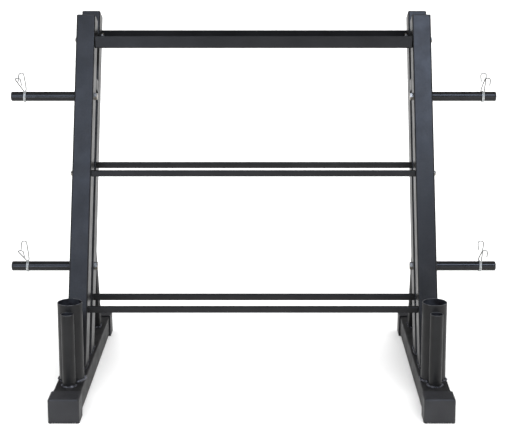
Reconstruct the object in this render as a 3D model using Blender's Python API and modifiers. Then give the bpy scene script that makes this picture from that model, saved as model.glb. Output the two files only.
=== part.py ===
"""Weight storage rack: leaning double uprights, plate pegs, two shelf levels and a top tray."""

import math

import bmesh
import bpy
import numpy as np
from mathutils import Matrix, Vector

# Metres throughout. X runs left to right as seen from the front, Y front to back, Z up.
# The origin lies on the floor, in the middle of the rack's overall width and depth.

# Fits
GAP = 0.0003
BOLT_CLEARANCE = 0.0003
SLEEVE_CLEARANCE = 0.0003
CLIP_CLEARANCE = 0.0003

# Side frames
FRAME_CENTRE_X = 0.450
OVERALL_HEIGHT = 0.9243
LEAN = math.radians(23)
UPRIGHT_WIDTH = 0.050
UPRIGHT_DEPTH = 0.060
UPRIGHT_SLOT = 0.040
UPRIGHT_FOOT_Y = 0.2515
TUBE_WALL = 0.002
TUBE_CORNER = 0.004

# Feet
FOOT_LENGTH = 0.702
FOOT_WIDTH = 0.068
FOOT_HEIGHT = 0.053
FOOT_CAP_WALL = 0.0035
FOOT_CAP_GRIP = 0.051
FOOT_CAP_CORNER = 0.0055
FOOT_CAP_MOUTH = 0.0022
FOOT_CAP_MOUTH_DEPTH = 0.003
SOLE_THICKNESS = 0.004
SOLE_GROOVES = 10
SOLE_GROOVE_WIDTH = 0.003
SOLE_GROOVE_PITCH = 0.0061
SOLE_GROOVE_HEIGHT = 0.0032

# Caps in the tops of the uprights
UPRIGHT_CAP_THICKNESS = 0.003
UPRIGHT_CAP_SKIRT = 0.012
UPRIGHT_CAP_SKIRT_WALL = 0.002
UPRIGHT_CAP_EDGE = 0.0012

# Rear struts
STRUT_SIZE = 0.040
STRUT_LEAN = math.radians(16)
STRUT_HEEL_Y = 0.595

# Spacer blocks between the two uprights of a side
SPACER_LENGTH = 0.030
SPACER_BELOW_TOP = 0.1923

# Bar holders on the feet
LARGE_HOLDER_DIAMETER = 0.061
LARGE_HOLDER_HEIGHT = 0.1984
LARGE_HOLDER_Y = 0.152
SMALL_HOLDER_DIAMETER = 0.032
SMALL_HOLDER_HEIGHT = 0.1824
HOLDER_WALL = 0.002

# Plate pegs
PEG_DIAMETER = 0.0254
PEG_WALL = 0.002
PEG_REACH = 0.1724
PEG_END_PLATE = 0.008
UPPER_PEG_BELOW_TOP = 0.2136
LOWER_PEG_Z = 0.2643
PLUG_RIM = 0.004
PLUG_ROUNDING = 0.0015
PLUG_STUB = 0.012
PLUG_STUB_WALL = 0.002

# Spring clips, wound from one wire
CLIP_WIRE = 0.0028
CLIP_TURN_GAP = 0.00045
CLIP_TURN_POINTS = 10
CLIP_LEG_TILT = math.radians(53)
CLIP_LEG_LENGTH = 0.066
CLIP_INWARD_LEAN = 0.013
CLIP_OUTWARD_LEAN = {"left": 0.0120, "right": 0.0010}
CLIP_BOW = 0.0016
CLIP_BOW_AT = 0.014
CLIP_HOOK_WIDTH = 0.0146
CLIP_HOOK_STEPS = 6
CLIP_HOOK_RETURN = 0.018
CLIP_HOOK_DROP = math.radians(22)
CLIP_SET_BACK = {"upper": 0.0364, "lower": 0.0424}

# Shelf rails
RAIL_SIZE = 0.015
RAIL_WALL = 0.0015
RAIL_CORNER = 0.002
RAIL_SET_BACK = 0.008
RAIL_END_PLATE = 0.006
MIDDLE_RAIL_Z = 0.5212
BOTTOM_RAIL_Z = 0.1925

# Top tray, folded from one sheet
TRAY_SHEET = 0.0025
TRAY_LIP = 0.032
TRAY_SET_BACK = 0.0088
TRAY_REAR_SET_BACK = 0.005
TRAY_BELOW_TOP = 0.0882
TRAY_BEND = 0.003
TRAY_BOLT_ABOVE_FLOOR = 0.0189

# Fasteners
RAIL_BOLT_DIAMETER = 0.008
RAIL_BOLT_HEAD = 0.0130
RAIL_BOLT_HEAD_HEIGHT = 0.0045
RAIL_BOLT_BITE = 0.008
TRAY_BOLT_DIAMETER = 0.008
TRAY_BOLT_HEAD = 0.0150
TRAY_BOLT_HEAD_HEIGHT = 0.0055
TRAY_NUT_FLATS = 0.013
TRAY_NUT_HEIGHT = 0.0045
TRAY_BOLT_TAIL = 0.001
PEG_BOLT_DIAMETER = 0.012
PEG_BOLT_FLATS = 0.0185
PEG_BOLT_HEAD_HEIGHT = 0.0075
PEG_BOLT_BITE = 0.010
HEX_CHAMFER = math.radians(30)
HEX_TRIM_SIDES = 24
SOCKET_SHARE = 0.5
SOCKET_DEPTH = 0.0025
HEAD_RIM = 0.001
DOME_STEPS = 3

# Reach of the tool bodies that trim tube ends
END_CUTTER = 0.4

# Facets round one turn, and along a corner's arc
HOLDER_SIDES = 32
PEG_SIDES = 24
BOLT_SIDES = 12
CORNER_SIDES = 2

# Worked out from the sizes above. Depths are first counted from the front of the front caps.
FOOT_BOTTOM_Z = SOLE_THICKNESS + GAP
FOOT_TOP_Z = FOOT_BOTTOM_Z + FOOT_HEIGHT
STANDING_Z = FOOT_TOP_Z + GAP
UPRIGHT_RUN = UPRIGHT_DEPTH / math.cos(LEAN)
UPRIGHT_PITCH = UPRIGHT_RUN + UPRIGHT_SLOT / math.cos(LEAN)
EDGE_ARC_DEPTH = UPRIGHT_DEPTH / 2 - UPRIGHT_CAP_EDGE
UPRIGHT_TOP_Z = (OVERALL_HEIGHT - EDGE_ARC_DEPTH * math.sin(LEAN)
                 - UPRIGHT_CAP_EDGE * (1 - math.cos(LEAN)))
FOOT_CAP_DEPTH = FOOT_CAP_GRIP + GAP + FOOT_CAP_WALL
INNER_FACE_X = FRAME_CENTRE_X - UPRIGHT_WIDTH / 2
OUTER_FACE_X = FRAME_CENTRE_X + UPRIGHT_WIDTH / 2
SPAN = 2 * (INNER_FACE_X - GAP)
PEG_TIP_X = OUTER_FACE_X + PEG_REACH
UPRIGHT_DRILL = UPRIGHT_WIDTH * 2
SMALL_HOLDER_Y = LARGE_HOLDER_Y - (LARGE_HOLDER_DIAMETER + SMALL_HOLDER_DIAMETER) / 2 - GAP
SPACER_Z = OVERALL_HEIGHT - SPACER_BELOW_TOP
UPPER_PEG_Z = OVERALL_HEIGHT - UPPER_PEG_BELOW_TOP
TRAY_BOTTOM_Z = OVERALL_HEIGHT - TRAY_BELOW_TOP
TRAY_DEPTH = UPRIGHT_PITCH + UPRIGHT_RUN - TRAY_SET_BACK - TRAY_REAR_SET_BACK
CLIP_PITCH = CLIP_WIRE + CLIP_TURN_GAP

UP_THE_LEAN = Vector((0, math.sin(LEAN), math.cos(LEAN)))
OUT_OF_THE_LEAN = Vector((0, math.cos(LEAN), -math.sin(LEAN)))


def upright_y(z, row):
    """Depth of an upright's centreline at a height; row 0 is the front upright, 1 the rear."""
    return UPRIGHT_FOOT_Y + (z - FOOT_TOP_Z) * math.tan(LEAN) + row * UPRIGHT_PITCH


REAR_TOP_Y = (upright_y(UPRIGHT_TOP_Z, 1) + EDGE_ARC_DEPTH * math.cos(LEAN)
              + UPRIGHT_CAP_EDGE * (1 - math.sin(LEAN)))
OVERALL_DEPTH = max(REAR_TOP_Y, FOOT_LENGTH)
FRONT_Y = -OVERALL_DEPTH / 2


# Scene and materials

for old in list(bpy.data.objects):
    bpy.data.objects.remove(old, do_unlink=True)

PARTS = bpy.data.collections.new("weight_storage_rack")
CUTTERS = bpy.data.collections.new("cutters")
bpy.context.scene.collection.children.link(PARTS)
bpy.context.scene.collection.children.link(CUTTERS)


def make_material(name, colour, roughness, metallic):
    material = bpy.data.materials.new(name)
    material.use_nodes = True
    shader = material.node_tree.nodes["Principled BSDF"]
    shader.inputs["Base Color"].default_value = (*colour, 1)
    shader.inputs["Roughness"].default_value = roughness
    shader.inputs["Metallic"].default_value = metallic
    return material


COATED_STEEL = ((0.050, 0.051, 0.058), 0.35, 0.2)
BLACK_PLASTIC = ((0.040, 0.040, 0.042), 0.5, 0.0)
ZINC_STEEL = ((0.62, 0.64, 0.65), 0.28, 1.0)


# Building blocks

def rounded_outline(width, depth, corner):
    """Points round a rectangle with arc corners, anticlockwise."""
    points = []
    for quarter, (sx, sy) in enumerate(((1, 1), (-1, 1), (-1, -1), (1, -1))):
        centre = Vector((sx * (width / 2 - corner), sy * (depth / 2 - corner)))
        for step in range(CORNER_SIDES + 1):
            angle = math.pi / 2 * (quarter + step / CORNER_SIDES)
            points.append(centre + corner * Vector((math.cos(angle), math.sin(angle))))
    return points


def round_outline(diameter, sides):
    """Points round a circle, anticlockwise."""
    turns = [2 * math.pi * step / sides for step in range(sides)]
    return [Vector((math.cos(a), math.sin(a))) * diameter / 2 for a in turns]


def weld(mesh):
    """Joins the points that a curve's caps leave lying on each other."""
    work = bmesh.new()
    work.from_mesh(mesh)
    bmesh.ops.remove_doubles(work, verts=work.verts, dist=1e-6)
    work.to_mesh(mesh)
    work.free()


def extruded(name, outlines, length):
    """Mesh of a flat shape, with holes where outlines nest, run along local Z about its middle."""
    curve = bpy.data.curves.new(name, "CURVE")
    curve.dimensions = "2D"
    curve.fill_mode = "BOTH"
    curve.extrude = length / 2
    for outline in outlines:
        spline = curve.splines.new("POLY")
        spline.points.add(len(outline) - 1)
        for point, spot in zip(spline.points, outline):
            point.co = (spot[0], spot[1], 0, 1)
        spline.use_cyclic_u = True
    drawn = bpy.data.objects.new(name, curve)
    CUTTERS.objects.link(drawn)
    bpy.context.view_layer.update()
    mesh = bpy.data.meshes.new_from_object(drawn.evaluated_get(bpy.context.evaluated_depsgraph_get()))
    bpy.data.objects.remove(drawn)
    weld(mesh)
    return mesh


def skin_mesh(name, outline, length):
    """Open skin of a tube along local Z about its middle, facing out."""
    work = bmesh.new()
    corners = [work.verts.new((spot[0], spot[1], -length / 2)) for spot in outline]
    ring = [work.edges.new((corners[i - 1], corners[i])) for i in range(len(corners))]
    grown = bmesh.ops.extrude_edge_only(work, edges=ring)["geom"]
    risen = [item for item in grown if isinstance(item, bmesh.types.BMVert)]
    bmesh.ops.translate(work, verts=risen, vec=(0, 0, length))
    bmesh.ops.recalc_face_normals(work, faces=work.faces)
    mesh = bpy.data.meshes.new(name)
    work.to_mesh(mesh)
    work.free()
    return mesh


def thicken(piece, wall):
    """Gives a skin its wall, inwards."""
    shell = piece.modifiers.new("wall", "SOLIDIFY")
    shell.thickness = wall
    shell.offset = -1
    shell.use_even_offset = True


def box_mesh(name, width, depth, height):
    """Plain box about its middle."""
    work = bmesh.new()
    bmesh.ops.create_cube(work, size=1, matrix=Matrix.Diagonal((width, depth, height, 1)))
    mesh = bpy.data.meshes.new(name)
    work.to_mesh(mesh)
    work.free()
    return mesh


def prism_mesh(name, diameter, length, sides):
    """Cylinder or regular prism along local Z about its middle."""
    work = bmesh.new()
    bmesh.ops.create_cone(work, cap_ends=True, segments=sides, radius1=diameter / 2,
                          radius2=diameter / 2, depth=length)
    mesh = bpy.data.meshes.new(name)
    work.to_mesh(mesh)
    work.free()
    return mesh


def place(name, mesh, material, location, rotation=(0, 0, 0)):
    """Adds one piece of the rack, with its own material."""
    piece = bpy.data.objects.new(name, mesh)
    piece.location = (location[0], FRONT_Y + location[1], location[2])
    piece.rotation_euler = rotation
    mesh.materials.append(make_material(name, *material))
    PARTS.objects.link(piece)
    return piece


def cutter(mesh, location, rotation=(0, 0, 0)):
    """Adds a tool body, which is never part of the rack."""
    tool = bpy.data.objects.new(mesh.name, mesh)
    tool.location = (location[0], FRONT_Y + location[1], location[2])
    tool.rotation_euler = rotation
    tool.hide_render = True
    tool.display_type = "WIRE"
    CUTTERS.objects.link(tool)
    return tool


def combine(piece, tool, operation="DIFFERENCE"):
    boolean = piece.modifiers.new(operation.lower(), "BOOLEAN")
    boolean.solver = "EXACT"
    boolean.operation = operation
    boolean.object = tool


def soften(piece, angle=math.radians(35)):
    """Smooth shading that keeps the real edges."""
    piece.data.shade_smooth()
    piece.data.set_sharp_from_angle(angle=angle)


def turned_mesh(name, profile):
    """Half section of a turned body, from its top down its outer side, in the plane of X and Z."""
    mesh = bpy.data.meshes.new(name)
    closed = profile[0] == profile[-1]
    points = [(radius, 0, height) for radius, height in profile[:-1 if closed else None]]
    edges = [(i, i + 1) for i in range(len(points) - 1)] + [(len(points) - 1, 0)] * closed
    mesh.from_pydata(points, edges, [])
    return mesh


def spin(piece, sides):
    """Turns a half section about local Z."""
    screw = piece.modifiers.new("turn", "SCREW")
    screw.axis = "Z"
    screw.steps = sides
    screw.render_steps = sides
    screw.use_merge_vertices = True
    screw.merge_threshold = 0.00001
    screw.use_smooth_shade = True


def turned(name, profile, material, location, rotation, sides=BOLT_SIDES):
    """Turned piece about local Z."""
    spin(place(name, turned_mesh(name, profile), material, location, rotation), sides)


def trim_end(piece, plane_y, plane_z, tilt):
    """Cuts away what lies past a plane through a point, tilted about X; its local Z points out."""
    tool = box_mesh(piece.name + "_end_cutter", END_CUTTER, END_CUTTER, END_CUTTER)
    lift = Vector((0, -math.sin(tilt), math.cos(tilt))) * END_CUTTER / 2
    combine(piece, cutter(tool, (piece.location.x, plane_y + lift.y, plane_z + lift.z), (tilt, 0, 0)))


def drill(piece, diameter, y, z, length):
    """Bolt hole along X through a piece that is centred on its own X."""
    tool = prism_mesh(piece.name + "_drill", diameter + 2 * BOLT_CLEARANCE, length, BOLT_SIDES)
    combine(piece, cutter(tool, (piece.location.x, y, z), (0, math.pi / 2, 0)))


def along_x(side):
    """Turns local Z to point outwards along X on a side."""
    return (0, side * math.pi / 2, 0)


# Heights and depths of what the bolts pass through

def rail_y(z, row):
    """Depth of a rail's centre."""
    face = upright_y(z, row) - UPRIGHT_RUN / 2
    return face + RAIL_SET_BACK + RAIL_SIZE / 2


RAIL_LEVELS = {"middle": MIDDLE_RAIL_Z, "bottom": BOTTOM_RAIL_Z}
ROWS = {"front": 0, "rear": 1}
SIDES = {"left": -1, "right": 1}
PEGS = {"upper": (UPPER_PEG_Z, 0), "lower": (LOWER_PEG_Z, 1)}
TRAY_BOLT_Z = TRAY_BOTTOM_Z + TRAY_BOLT_ABOVE_FLOOR


# Feet and their caps

def foot(tag, side):
    """Tube on the floor between its two caps."""
    length = FOOT_LENGTH - 2 * (FOOT_CAP_WALL + GAP)
    mesh = skin_mesh(tag + "_foot", rounded_outline(FOOT_WIDTH, FOOT_HEIGHT, TUBE_CORNER), length)
    middle = (side * FRAME_CENTRE_X, FOOT_LENGTH / 2, FOOT_BOTTOM_Z + FOOT_HEIGHT / 2)
    piece = place(tag + "_foot_tube", mesh, COATED_STEEL, middle, (math.pi / 2, 0, 0))
    thicken(piece, TUBE_WALL)
    soften(piece)


def foot_cap(tag, side, end):
    """Sleeve with a grooved sole; end is 0 at the front and 1 at the back."""
    width = FOOT_WIDTH + 2 * (SLEEVE_CLEARANCE + FOOT_CAP_WALL)
    height = SOLE_THICKNESS + GAP + FOOT_HEIGHT + SLEEVE_CLEARANCE + FOOT_CAP_WALL
    name = tag + ("_rear" if end else "_front") + "_foot_cap"
    mesh = box_mesh(name, width, FOOT_CAP_DEPTH, height)
    work = bmesh.new()
    work.from_mesh(mesh)
    outward = 1 if end else -1
    rounded = [edge for edge in work.edges if keeps_round(edge, height, outward)]
    bmesh.ops.bevel(work, geom=rounded, offset=FOOT_CAP_CORNER, segments=CORNER_SIDES,
                    affect="EDGES", profile=0.5)
    work.to_mesh(mesh)
    work.free()
    middle_y = FOOT_CAP_DEPTH / 2 + end * (FOOT_LENGTH - FOOT_CAP_DEPTH)
    cap = place(name, mesh, BLACK_PLASTIC, (side * FRAME_CENTRE_X, middle_y, height / 2))
    room_width = FOOT_WIDTH + 2 * SLEEVE_CLEARANCE
    room_height = FOOT_HEIGHT + GAP + SLEEVE_CLEARANCE
    room_outline = rounded_outline(room_width, room_height, TUBE_CORNER)
    room = extruded(name + "_room", [room_outline], FOOT_CAP_DEPTH)
    room_y = middle_y - outward * FOOT_CAP_WALL
    room_z = SOLE_THICKNESS + room_height / 2
    combine(cap, cutter(room, (side * FRAME_CENTRE_X, room_y, room_z), (math.pi / 2, 0, 0)))
    mouth_y = middle_y - outward * FOOT_CAP_DEPTH / 2
    mouth = mouth_mesh(name, room_outline, room_width, room_height)
    facing = (math.pi / 2, 0, math.pi * (1 - end))
    combine(cap, cutter(mouth, (side * FRAME_CENTRE_X, mouth_y, room_z), facing))
    combine(cap, groove_cutter(name, side, middle_y))
    soften(cap)


def keeps_round(edge, height, outward):
    """True for a cap's upright outer edges and the edges of its top."""
    ends = [vert.co for vert in edge.verts]
    on_top = all(co.z > height * 0.49 for co in ends)
    on_outer_end = all(co.y * outward > 0 for co in ends)
    on_open_end = all(co.y * outward < 0 for co in ends)
    on_floor = all(co.z < -height * 0.49 for co in ends)
    if on_floor or on_open_end:
        return False
    return on_outer_end or on_top


def mouth_mesh(name, outline, width, height):
    """Tool that widens along local Z, but not at -Y, for the lead-in above a sleeve's sole."""
    mesh = extruded(name + "_mouth", [outline], 2 * FOOT_CAP_MOUTH_DEPTH)
    for vert in mesh.vertices:
        grown = 4 * FOOT_CAP_MOUTH if vert.co.z > 0 else -SLEEVE_CLEARANCE
        vert.co.x *= 1 + grown / width
        vert.co.y *= 1 + (grown if vert.co.y > 0 else -SLEEVE_CLEARANCE) / height
    return mesh


def groove_cutter(name, side, middle_y):
    """One tool with all the sole's grooves, running front to back."""
    work = bmesh.new()
    for number in range(SOLE_GROOVES):
        x = (number - (SOLE_GROOVES - 1) / 2) * SOLE_GROOVE_PITCH
        size = Matrix.Diagonal((SOLE_GROOVE_WIDTH, FOOT_CAP_DEPTH * 1.2, SOLE_GROOVE_HEIGHT * 2, 1))
        bmesh.ops.create_cube(work, size=1, matrix=Matrix.Translation((x, 0, 0)) @ size)
    mesh = bpy.data.meshes.new(name + "_grooves")
    work.to_mesh(mesh)
    work.free()
    return cutter(mesh, (side * FRAME_CENTRE_X, middle_y, 0))


# Uprights, their caps, struts and spacers

def upright(tag, side, row_tag, row):
    """Leaning tube, mitred level on the foot and cut square at its top, with its bolt holes."""
    cap_share = UPRIGHT_CAP_THICKNESS + GAP
    spare = UPRIGHT_DEPTH * math.tan(LEAN)
    rise = (UPRIGHT_TOP_Z - STANDING_Z) / math.cos(LEAN) - cap_share
    length = rise + spare
    name = f"{tag}_{row_tag}_upright"
    mesh = skin_mesh(name, rounded_outline(UPRIGHT_WIDTH, UPRIGHT_DEPTH, TUBE_CORNER), length)
    top = Vector((side * FRAME_CENTRE_X, upright_y(UPRIGHT_TOP_Z, row), UPRIGHT_TOP_Z))
    middle = top - UP_THE_LEAN * (cap_share + length / 2)
    piece = place(name, mesh, COATED_STEEL, middle, (-LEAN, 0, 0))
    thicken(piece, TUBE_WALL)
    trim_end(piece, upright_y(STANDING_Z, row), STANDING_Z, math.pi)
    for level_z in RAIL_LEVELS.values():
        drill(piece, RAIL_BOLT_DIAMETER, rail_y(level_z, row), level_z, UPRIGHT_DRILL)
    for peg_z, peg_row in PEGS.values():
        if peg_row == row:
            drill(piece, PEG_BOLT_DIAMETER, upright_y(peg_z, row), peg_z, UPRIGHT_DRILL)
    drill(piece, TRAY_BOLT_DIAMETER, upright_y(TRAY_BOLT_Z, row), TRAY_BOLT_Z, UPRIGHT_DRILL)
    soften(piece)


def upright_cap(tag, side, row_tag, row):
    """Plastic plate with a hollow skirt that grips inside the tube."""
    name = f"{tag}_{row_tag}_upright_cap"
    plate_outline = rounded_outline(UPRIGHT_WIDTH, UPRIGHT_DEPTH, TUBE_CORNER)
    mesh = extruded(name, [plate_outline], UPRIGHT_CAP_THICKNESS)
    top = Vector((side * FRAME_CENTRE_X, upright_y(UPRIGHT_TOP_Z, row), UPRIGHT_TOP_Z))
    work = bmesh.new()
    work.from_mesh(mesh)
    rim = [e for e in work.edges if all(v.co.z > 0 for v in e.verts) and len(e.link_faces) == 2
           and e.calc_face_angle(0) > 1]
    bmesh.ops.bevel(work, geom=rim, offset=UPRIGHT_CAP_EDGE, segments=2, affect="EDGES", profile=0.5)
    work.to_mesh(mesh)
    work.free()
    middle = top - UP_THE_LEAN * UPRIGHT_CAP_THICKNESS / 2
    cap = place(name, mesh, BLACK_PLASTIC, middle, (-LEAN, 0, 0))
    inset = 2 * (TUBE_WALL + SLEEVE_CLEARANCE)
    skirt_outline = rounded_outline(UPRIGHT_WIDTH - inset, UPRIGHT_DEPTH - inset, TUBE_CORNER - TUBE_WALL)
    skirt_length = UPRIGHT_CAP_SKIRT + UPRIGHT_CAP_THICKNESS / 2
    skirt_middle = middle - UP_THE_LEAN * skirt_length / 2
    skirt = cutter(skin_mesh(name + "_skirt", skirt_outline, skirt_length), skirt_middle, (-LEAN, 0, 0))
    thicken(skirt, UPRIGHT_CAP_SKIRT_WALL)
    combine(cap, skirt, "UNION")
    soften(cap)


def strut(tag, side):
    """Square tube that leans forward from the back of the foot and meets the rear upright."""
    heel = Vector((0, STRUT_HEEL_Y - STRUT_SIZE / 2 / math.cos(STRUT_LEAN), FOOT_TOP_Z))
    axis = Vector((0, -math.sin(STRUT_LEAN), math.cos(STRUT_LEAN)))
    face = Vector((0, upright_y(FOOT_TOP_Z, 1), FOOT_TOP_Z)) + OUT_OF_THE_LEAN * (UPRIGHT_DEPTH / 2 + GAP)
    reach = (face - heel).dot(OUT_OF_THE_LEAN) / axis.dot(OUT_OF_THE_LEAN)
    meeting = heel + axis * reach
    spare = STRUT_SIZE * 2
    name = tag + "_rear_strut"
    outline = rounded_outline(STRUT_SIZE, STRUT_SIZE, TUBE_CORNER)
    mesh = skin_mesh(name, outline, reach + 2 * spare)
    middle = heel + axis * reach / 2
    piece = place(name, mesh, COATED_STEEL, (side * FRAME_CENTRE_X, middle.y, middle.z), (STRUT_LEAN, 0, 0))
    thicken(piece, TUBE_WALL)
    trim_end(piece, heel.y, STANDING_Z, math.pi)
    trim_end(piece, meeting.y, meeting.z, math.pi / 2 - LEAN)
    soften(piece)


def spacer(tag, side):
    """Tube offcut that fills the slot between the two uprights of a side."""
    outline = rounded_outline(UPRIGHT_WIDTH, UPRIGHT_SLOT - 2 * GAP, TUBE_CORNER)
    mesh = skin_mesh(tag + "_spacer", outline, SPACER_LENGTH)
    middle = (side * FRAME_CENTRE_X, upright_y(SPACER_Z, 0.5), SPACER_Z)
    piece = place(tag + "_upright_spacer", mesh, COATED_STEEL, middle, (-LEAN, 0, 0))
    thicken(piece, TUBE_WALL)
    soften(piece)


# Bar holders

def holder(name, side, diameter, height, y):
    """Open tube standing on the foot, for a bar's end."""
    mesh = skin_mesh(name, round_outline(diameter, HOLDER_SIDES), height)
    middle = (side * FRAME_CENTRE_X, y, STANDING_Z + height / 2)
    piece = place(name, mesh, COATED_STEEL, middle)
    thicken(piece, HOLDER_WALL)
    soften(piece)


# Pegs, plugs and their bolts

def peg(tag, side, level, z, row):
    """Tube with an end plate towards the upright, bored for the peg's bolt."""
    length = PEG_REACH - PLUG_RIM - 2 * GAP
    outer = PEG_DIAMETER / 2
    bore = outer - PEG_WALL
    hole = PEG_BOLT_DIAMETER / 2 + BOLT_CLEARANCE
    profile = [(outer, length), (outer, 0), (hole, 0), (hole, PEG_END_PLATE), (bore, PEG_END_PLATE),
               (bore, length), (outer, length)]
    seat = (side * (OUTER_FACE_X + GAP), upright_y(z, row), z)
    turned(f"{tag}_{level}_peg", profile, COATED_STEEL, seat, along_x(side), PEG_SIDES)


def peg_plug(tag, side, level, z, row):
    """Plastic plug: a rounded rim as wide as the peg and a hollow stub inside it."""
    rim = PEG_DIAMETER / 2
    stub = rim - PEG_WALL - SLEEVE_CLEARANCE
    hollow = stub - PLUG_STUB_WALL
    profile = [(0, 0)]
    for step in range(CORNER_SIDES + 1):
        angle = math.pi / 2 * (1 - step / CORNER_SIDES)
        profile.append((rim - PLUG_ROUNDING * (1 - math.cos(angle)), -PLUG_ROUNDING * (1 - math.sin(angle))))
    profile += [(rim, -PLUG_RIM), (stub, -PLUG_RIM), (stub, -PLUG_RIM - PLUG_STUB)]
    profile += [(hollow, -PLUG_RIM - PLUG_STUB), (hollow, -PLUG_RIM), (0, -PLUG_RIM)]
    place_at = (side * PEG_TIP_X, upright_y(z, row), z)
    turned(f"{tag}_{level}_peg_plug", profile, BLACK_PLASTIC, place_at, along_x(side), PEG_SIDES)


def hex_blank(name, flats, height, bore=0.0):
    """Hexagon prism on local Z from 0 up, bored if asked."""
    outlines = [round_outline(flats / math.cos(math.pi / 6), 6)]
    if bore:
        outlines.append(round_outline(bore, BOLT_SIDES))
    mesh = extruded(name, outlines, height)
    mesh.transform(Matrix.Translation((0, 0, height / 2)))
    return mesh


def trim_corners(piece, flats, height):
    """Turns down a hexagon's outer corners, as on a real nut or bolt head."""
    reach = flats
    slope_foot = height - (reach - flats / 2) * math.tan(HEX_CHAMFER)
    profile = [(0, height), (flats / 2, height), (reach, slope_foot), (reach, -height), (0, -height)]
    mesh = turned_mesh(piece.name + "_chamfer", profile)
    tool = cutter(mesh, piece.location - Vector((0, FRONT_Y, 0)), piece.rotation_euler)
    spin(tool, HEX_TRIM_SIDES)
    combine(piece, tool, "INTERSECT")


def peg_bolt(tag, side, level, z, row):
    """Hexagon bolt from the inner face, through the upright, into the peg's end plate."""
    name = f"{tag}_{level}_peg_bolt"
    seat = (side * (INNER_FACE_X - GAP), upright_y(z, row), z)
    mesh = hex_blank(name, PEG_BOLT_FLATS, PEG_BOLT_HEAD_HEIGHT)
    piece = place(name, mesh, ZINC_STEEL, seat, along_x(-side))
    trim_corners(piece, PEG_BOLT_FLATS, PEG_BOLT_HEAD_HEIGHT)
    shank_length = UPRIGHT_WIDTH + 2 * GAP + PEG_BOLT_BITE
    overlap = PEG_BOLT_HEAD_HEIGHT / 2
    shank = prism_mesh(name + "_shank", PEG_BOLT_DIAMETER, shank_length + overlap, BOLT_SIDES)
    shank_x = seat[0] + side * (shank_length - overlap) / 2
    combine(piece, cutter(shank, (shank_x, seat[1], seat[2]), along_x(side)), "UNION")
    soften(piece)


# Spring clips

def clip_route(outward_lean):
    """Centreline of a clip about its coil's axis, local X along the peg with the tip at -X.

    The wire leaves the coil at both ends along its tangents, so the two handles cross above
    the peg and squeezing them together opens the coil. Each handle ends in an open hook.
    """
    inner = PEG_DIAMETER / 2 + CLIP_CLEARANCE + CLIP_WIRE / 2
    radius = inner / math.cos(math.pi / CLIP_TURN_POINTS)
    turning = 4 * math.pi - (math.pi - 2 * CLIP_LEG_TILT)
    steps = round(turning / (2 * math.pi) * CLIP_TURN_POINTS)
    half = CLIP_PITCH * turning / (2 * math.pi) / 2
    coil = []
    for step in range(steps + 1):
        share = step / steps
        angle = CLIP_LEG_TILT - turning * share
        coil.append(Vector((half * (2 * share - 1), radius * math.cos(angle), radius * math.sin(angle))))

    def handle(start, way, leans, hook):
        """Points of a leg from the coil out: way is -1 forwards or 1 backwards."""
        rise = Vector((0, way * math.sin(CLIP_LEG_TILT), math.cos(CLIP_LEG_TILT)))
        points = [start + rise * along + Vector((lean, 0, 0)) for along, lean in leans]
        end = points[-1]
        tip_tilt = CLIP_LEG_TILT - CLIP_HOOK_DROP
        back = Vector((0, way * math.sin(tip_tilt), math.cos(tip_tilt)))
        bend = CLIP_HOOK_WIDTH / 2
        for step in range(1, CLIP_HOOK_STEPS + 1):
            turn = math.pi * step / CLIP_HOOK_STEPS
            height = rise * math.sin(turn) if turn <= math.pi / 2 else rise - back * (1 - math.sin(turn))
            across = Vector((hook * (1 - math.cos(turn)), 0, 0))
            points.append(end + bend * (height + across))
        points.append(points[-1] - back * CLIP_HOOK_RETURN)
        return points

    inward_leans = [(CLIP_BOW_AT, -CLIP_INWARD_LEAN * CLIP_BOW_AT / CLIP_LEG_LENGTH),
                    (CLIP_LEG_LENGTH, -CLIP_INWARD_LEAN)]
    outward_leans = [(CLIP_BOW_AT, CLIP_BOW), (CLIP_LEG_LENGTH, -outward_lean)]
    front = handle(coil[0], -1, inward_leans, 1)
    back = handle(coil[-1], 1, outward_leans, -1)
    return front[::-1] + coil + back


def least_self_gap(route, wire):
    """Least clear distance between stretches of a wire that aren't neighbours along it."""
    samples = []
    travelled = []
    distance = 0.0
    for start, end in zip(route, route[1:]):
        count = max(2, round((end - start).length / (wire / 4)))
        for number in range(count):
            samples.append(start.lerp(end, number / count))
            travelled.append(distance + (end - start).length * number / count)
        distance += (end - start).length
    places = np.array(samples)
    lengths = np.array(travelled)
    apart = np.linalg.norm(places[:, None] - places[None], axis=2)
    far_along = np.abs(lengths[:, None] - lengths[None]) > 4 * wire
    return apart[far_along].min() - wire


def clip(tag, side, level, z, row):
    """One unbroken wire; the right-hand clips are the left-hand ones turned about Z."""
    name = f"{tag}_{level}_clip"
    route = clip_route(CLIP_OUTWARD_LEAN[tag])
    curve = bpy.data.curves.new(name, "CURVE")
    curve.dimensions = "3D"
    curve.bevel_depth = CLIP_WIRE / 2
    curve.bevel_resolution = 1
    curve.use_fill_caps = True
    spline = curve.splines.new("POLY")
    spline.points.add(len(route) - 1)
    for point, spot in zip(spline.points, route):
        point.co = (*spot, 1)
    coil_x = side * (PEG_TIP_X - CLIP_SET_BACK[level])
    place(name, curve, ZINC_STEEL, (coil_x, upright_y(z, row), z), (0, 0, math.pi if side > 0 else 0))
    print(f"{name}: least gap to itself {least_self_gap(route, CLIP_WIRE) * 1000:.2f} mm")


# Rails and their bolts

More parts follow.
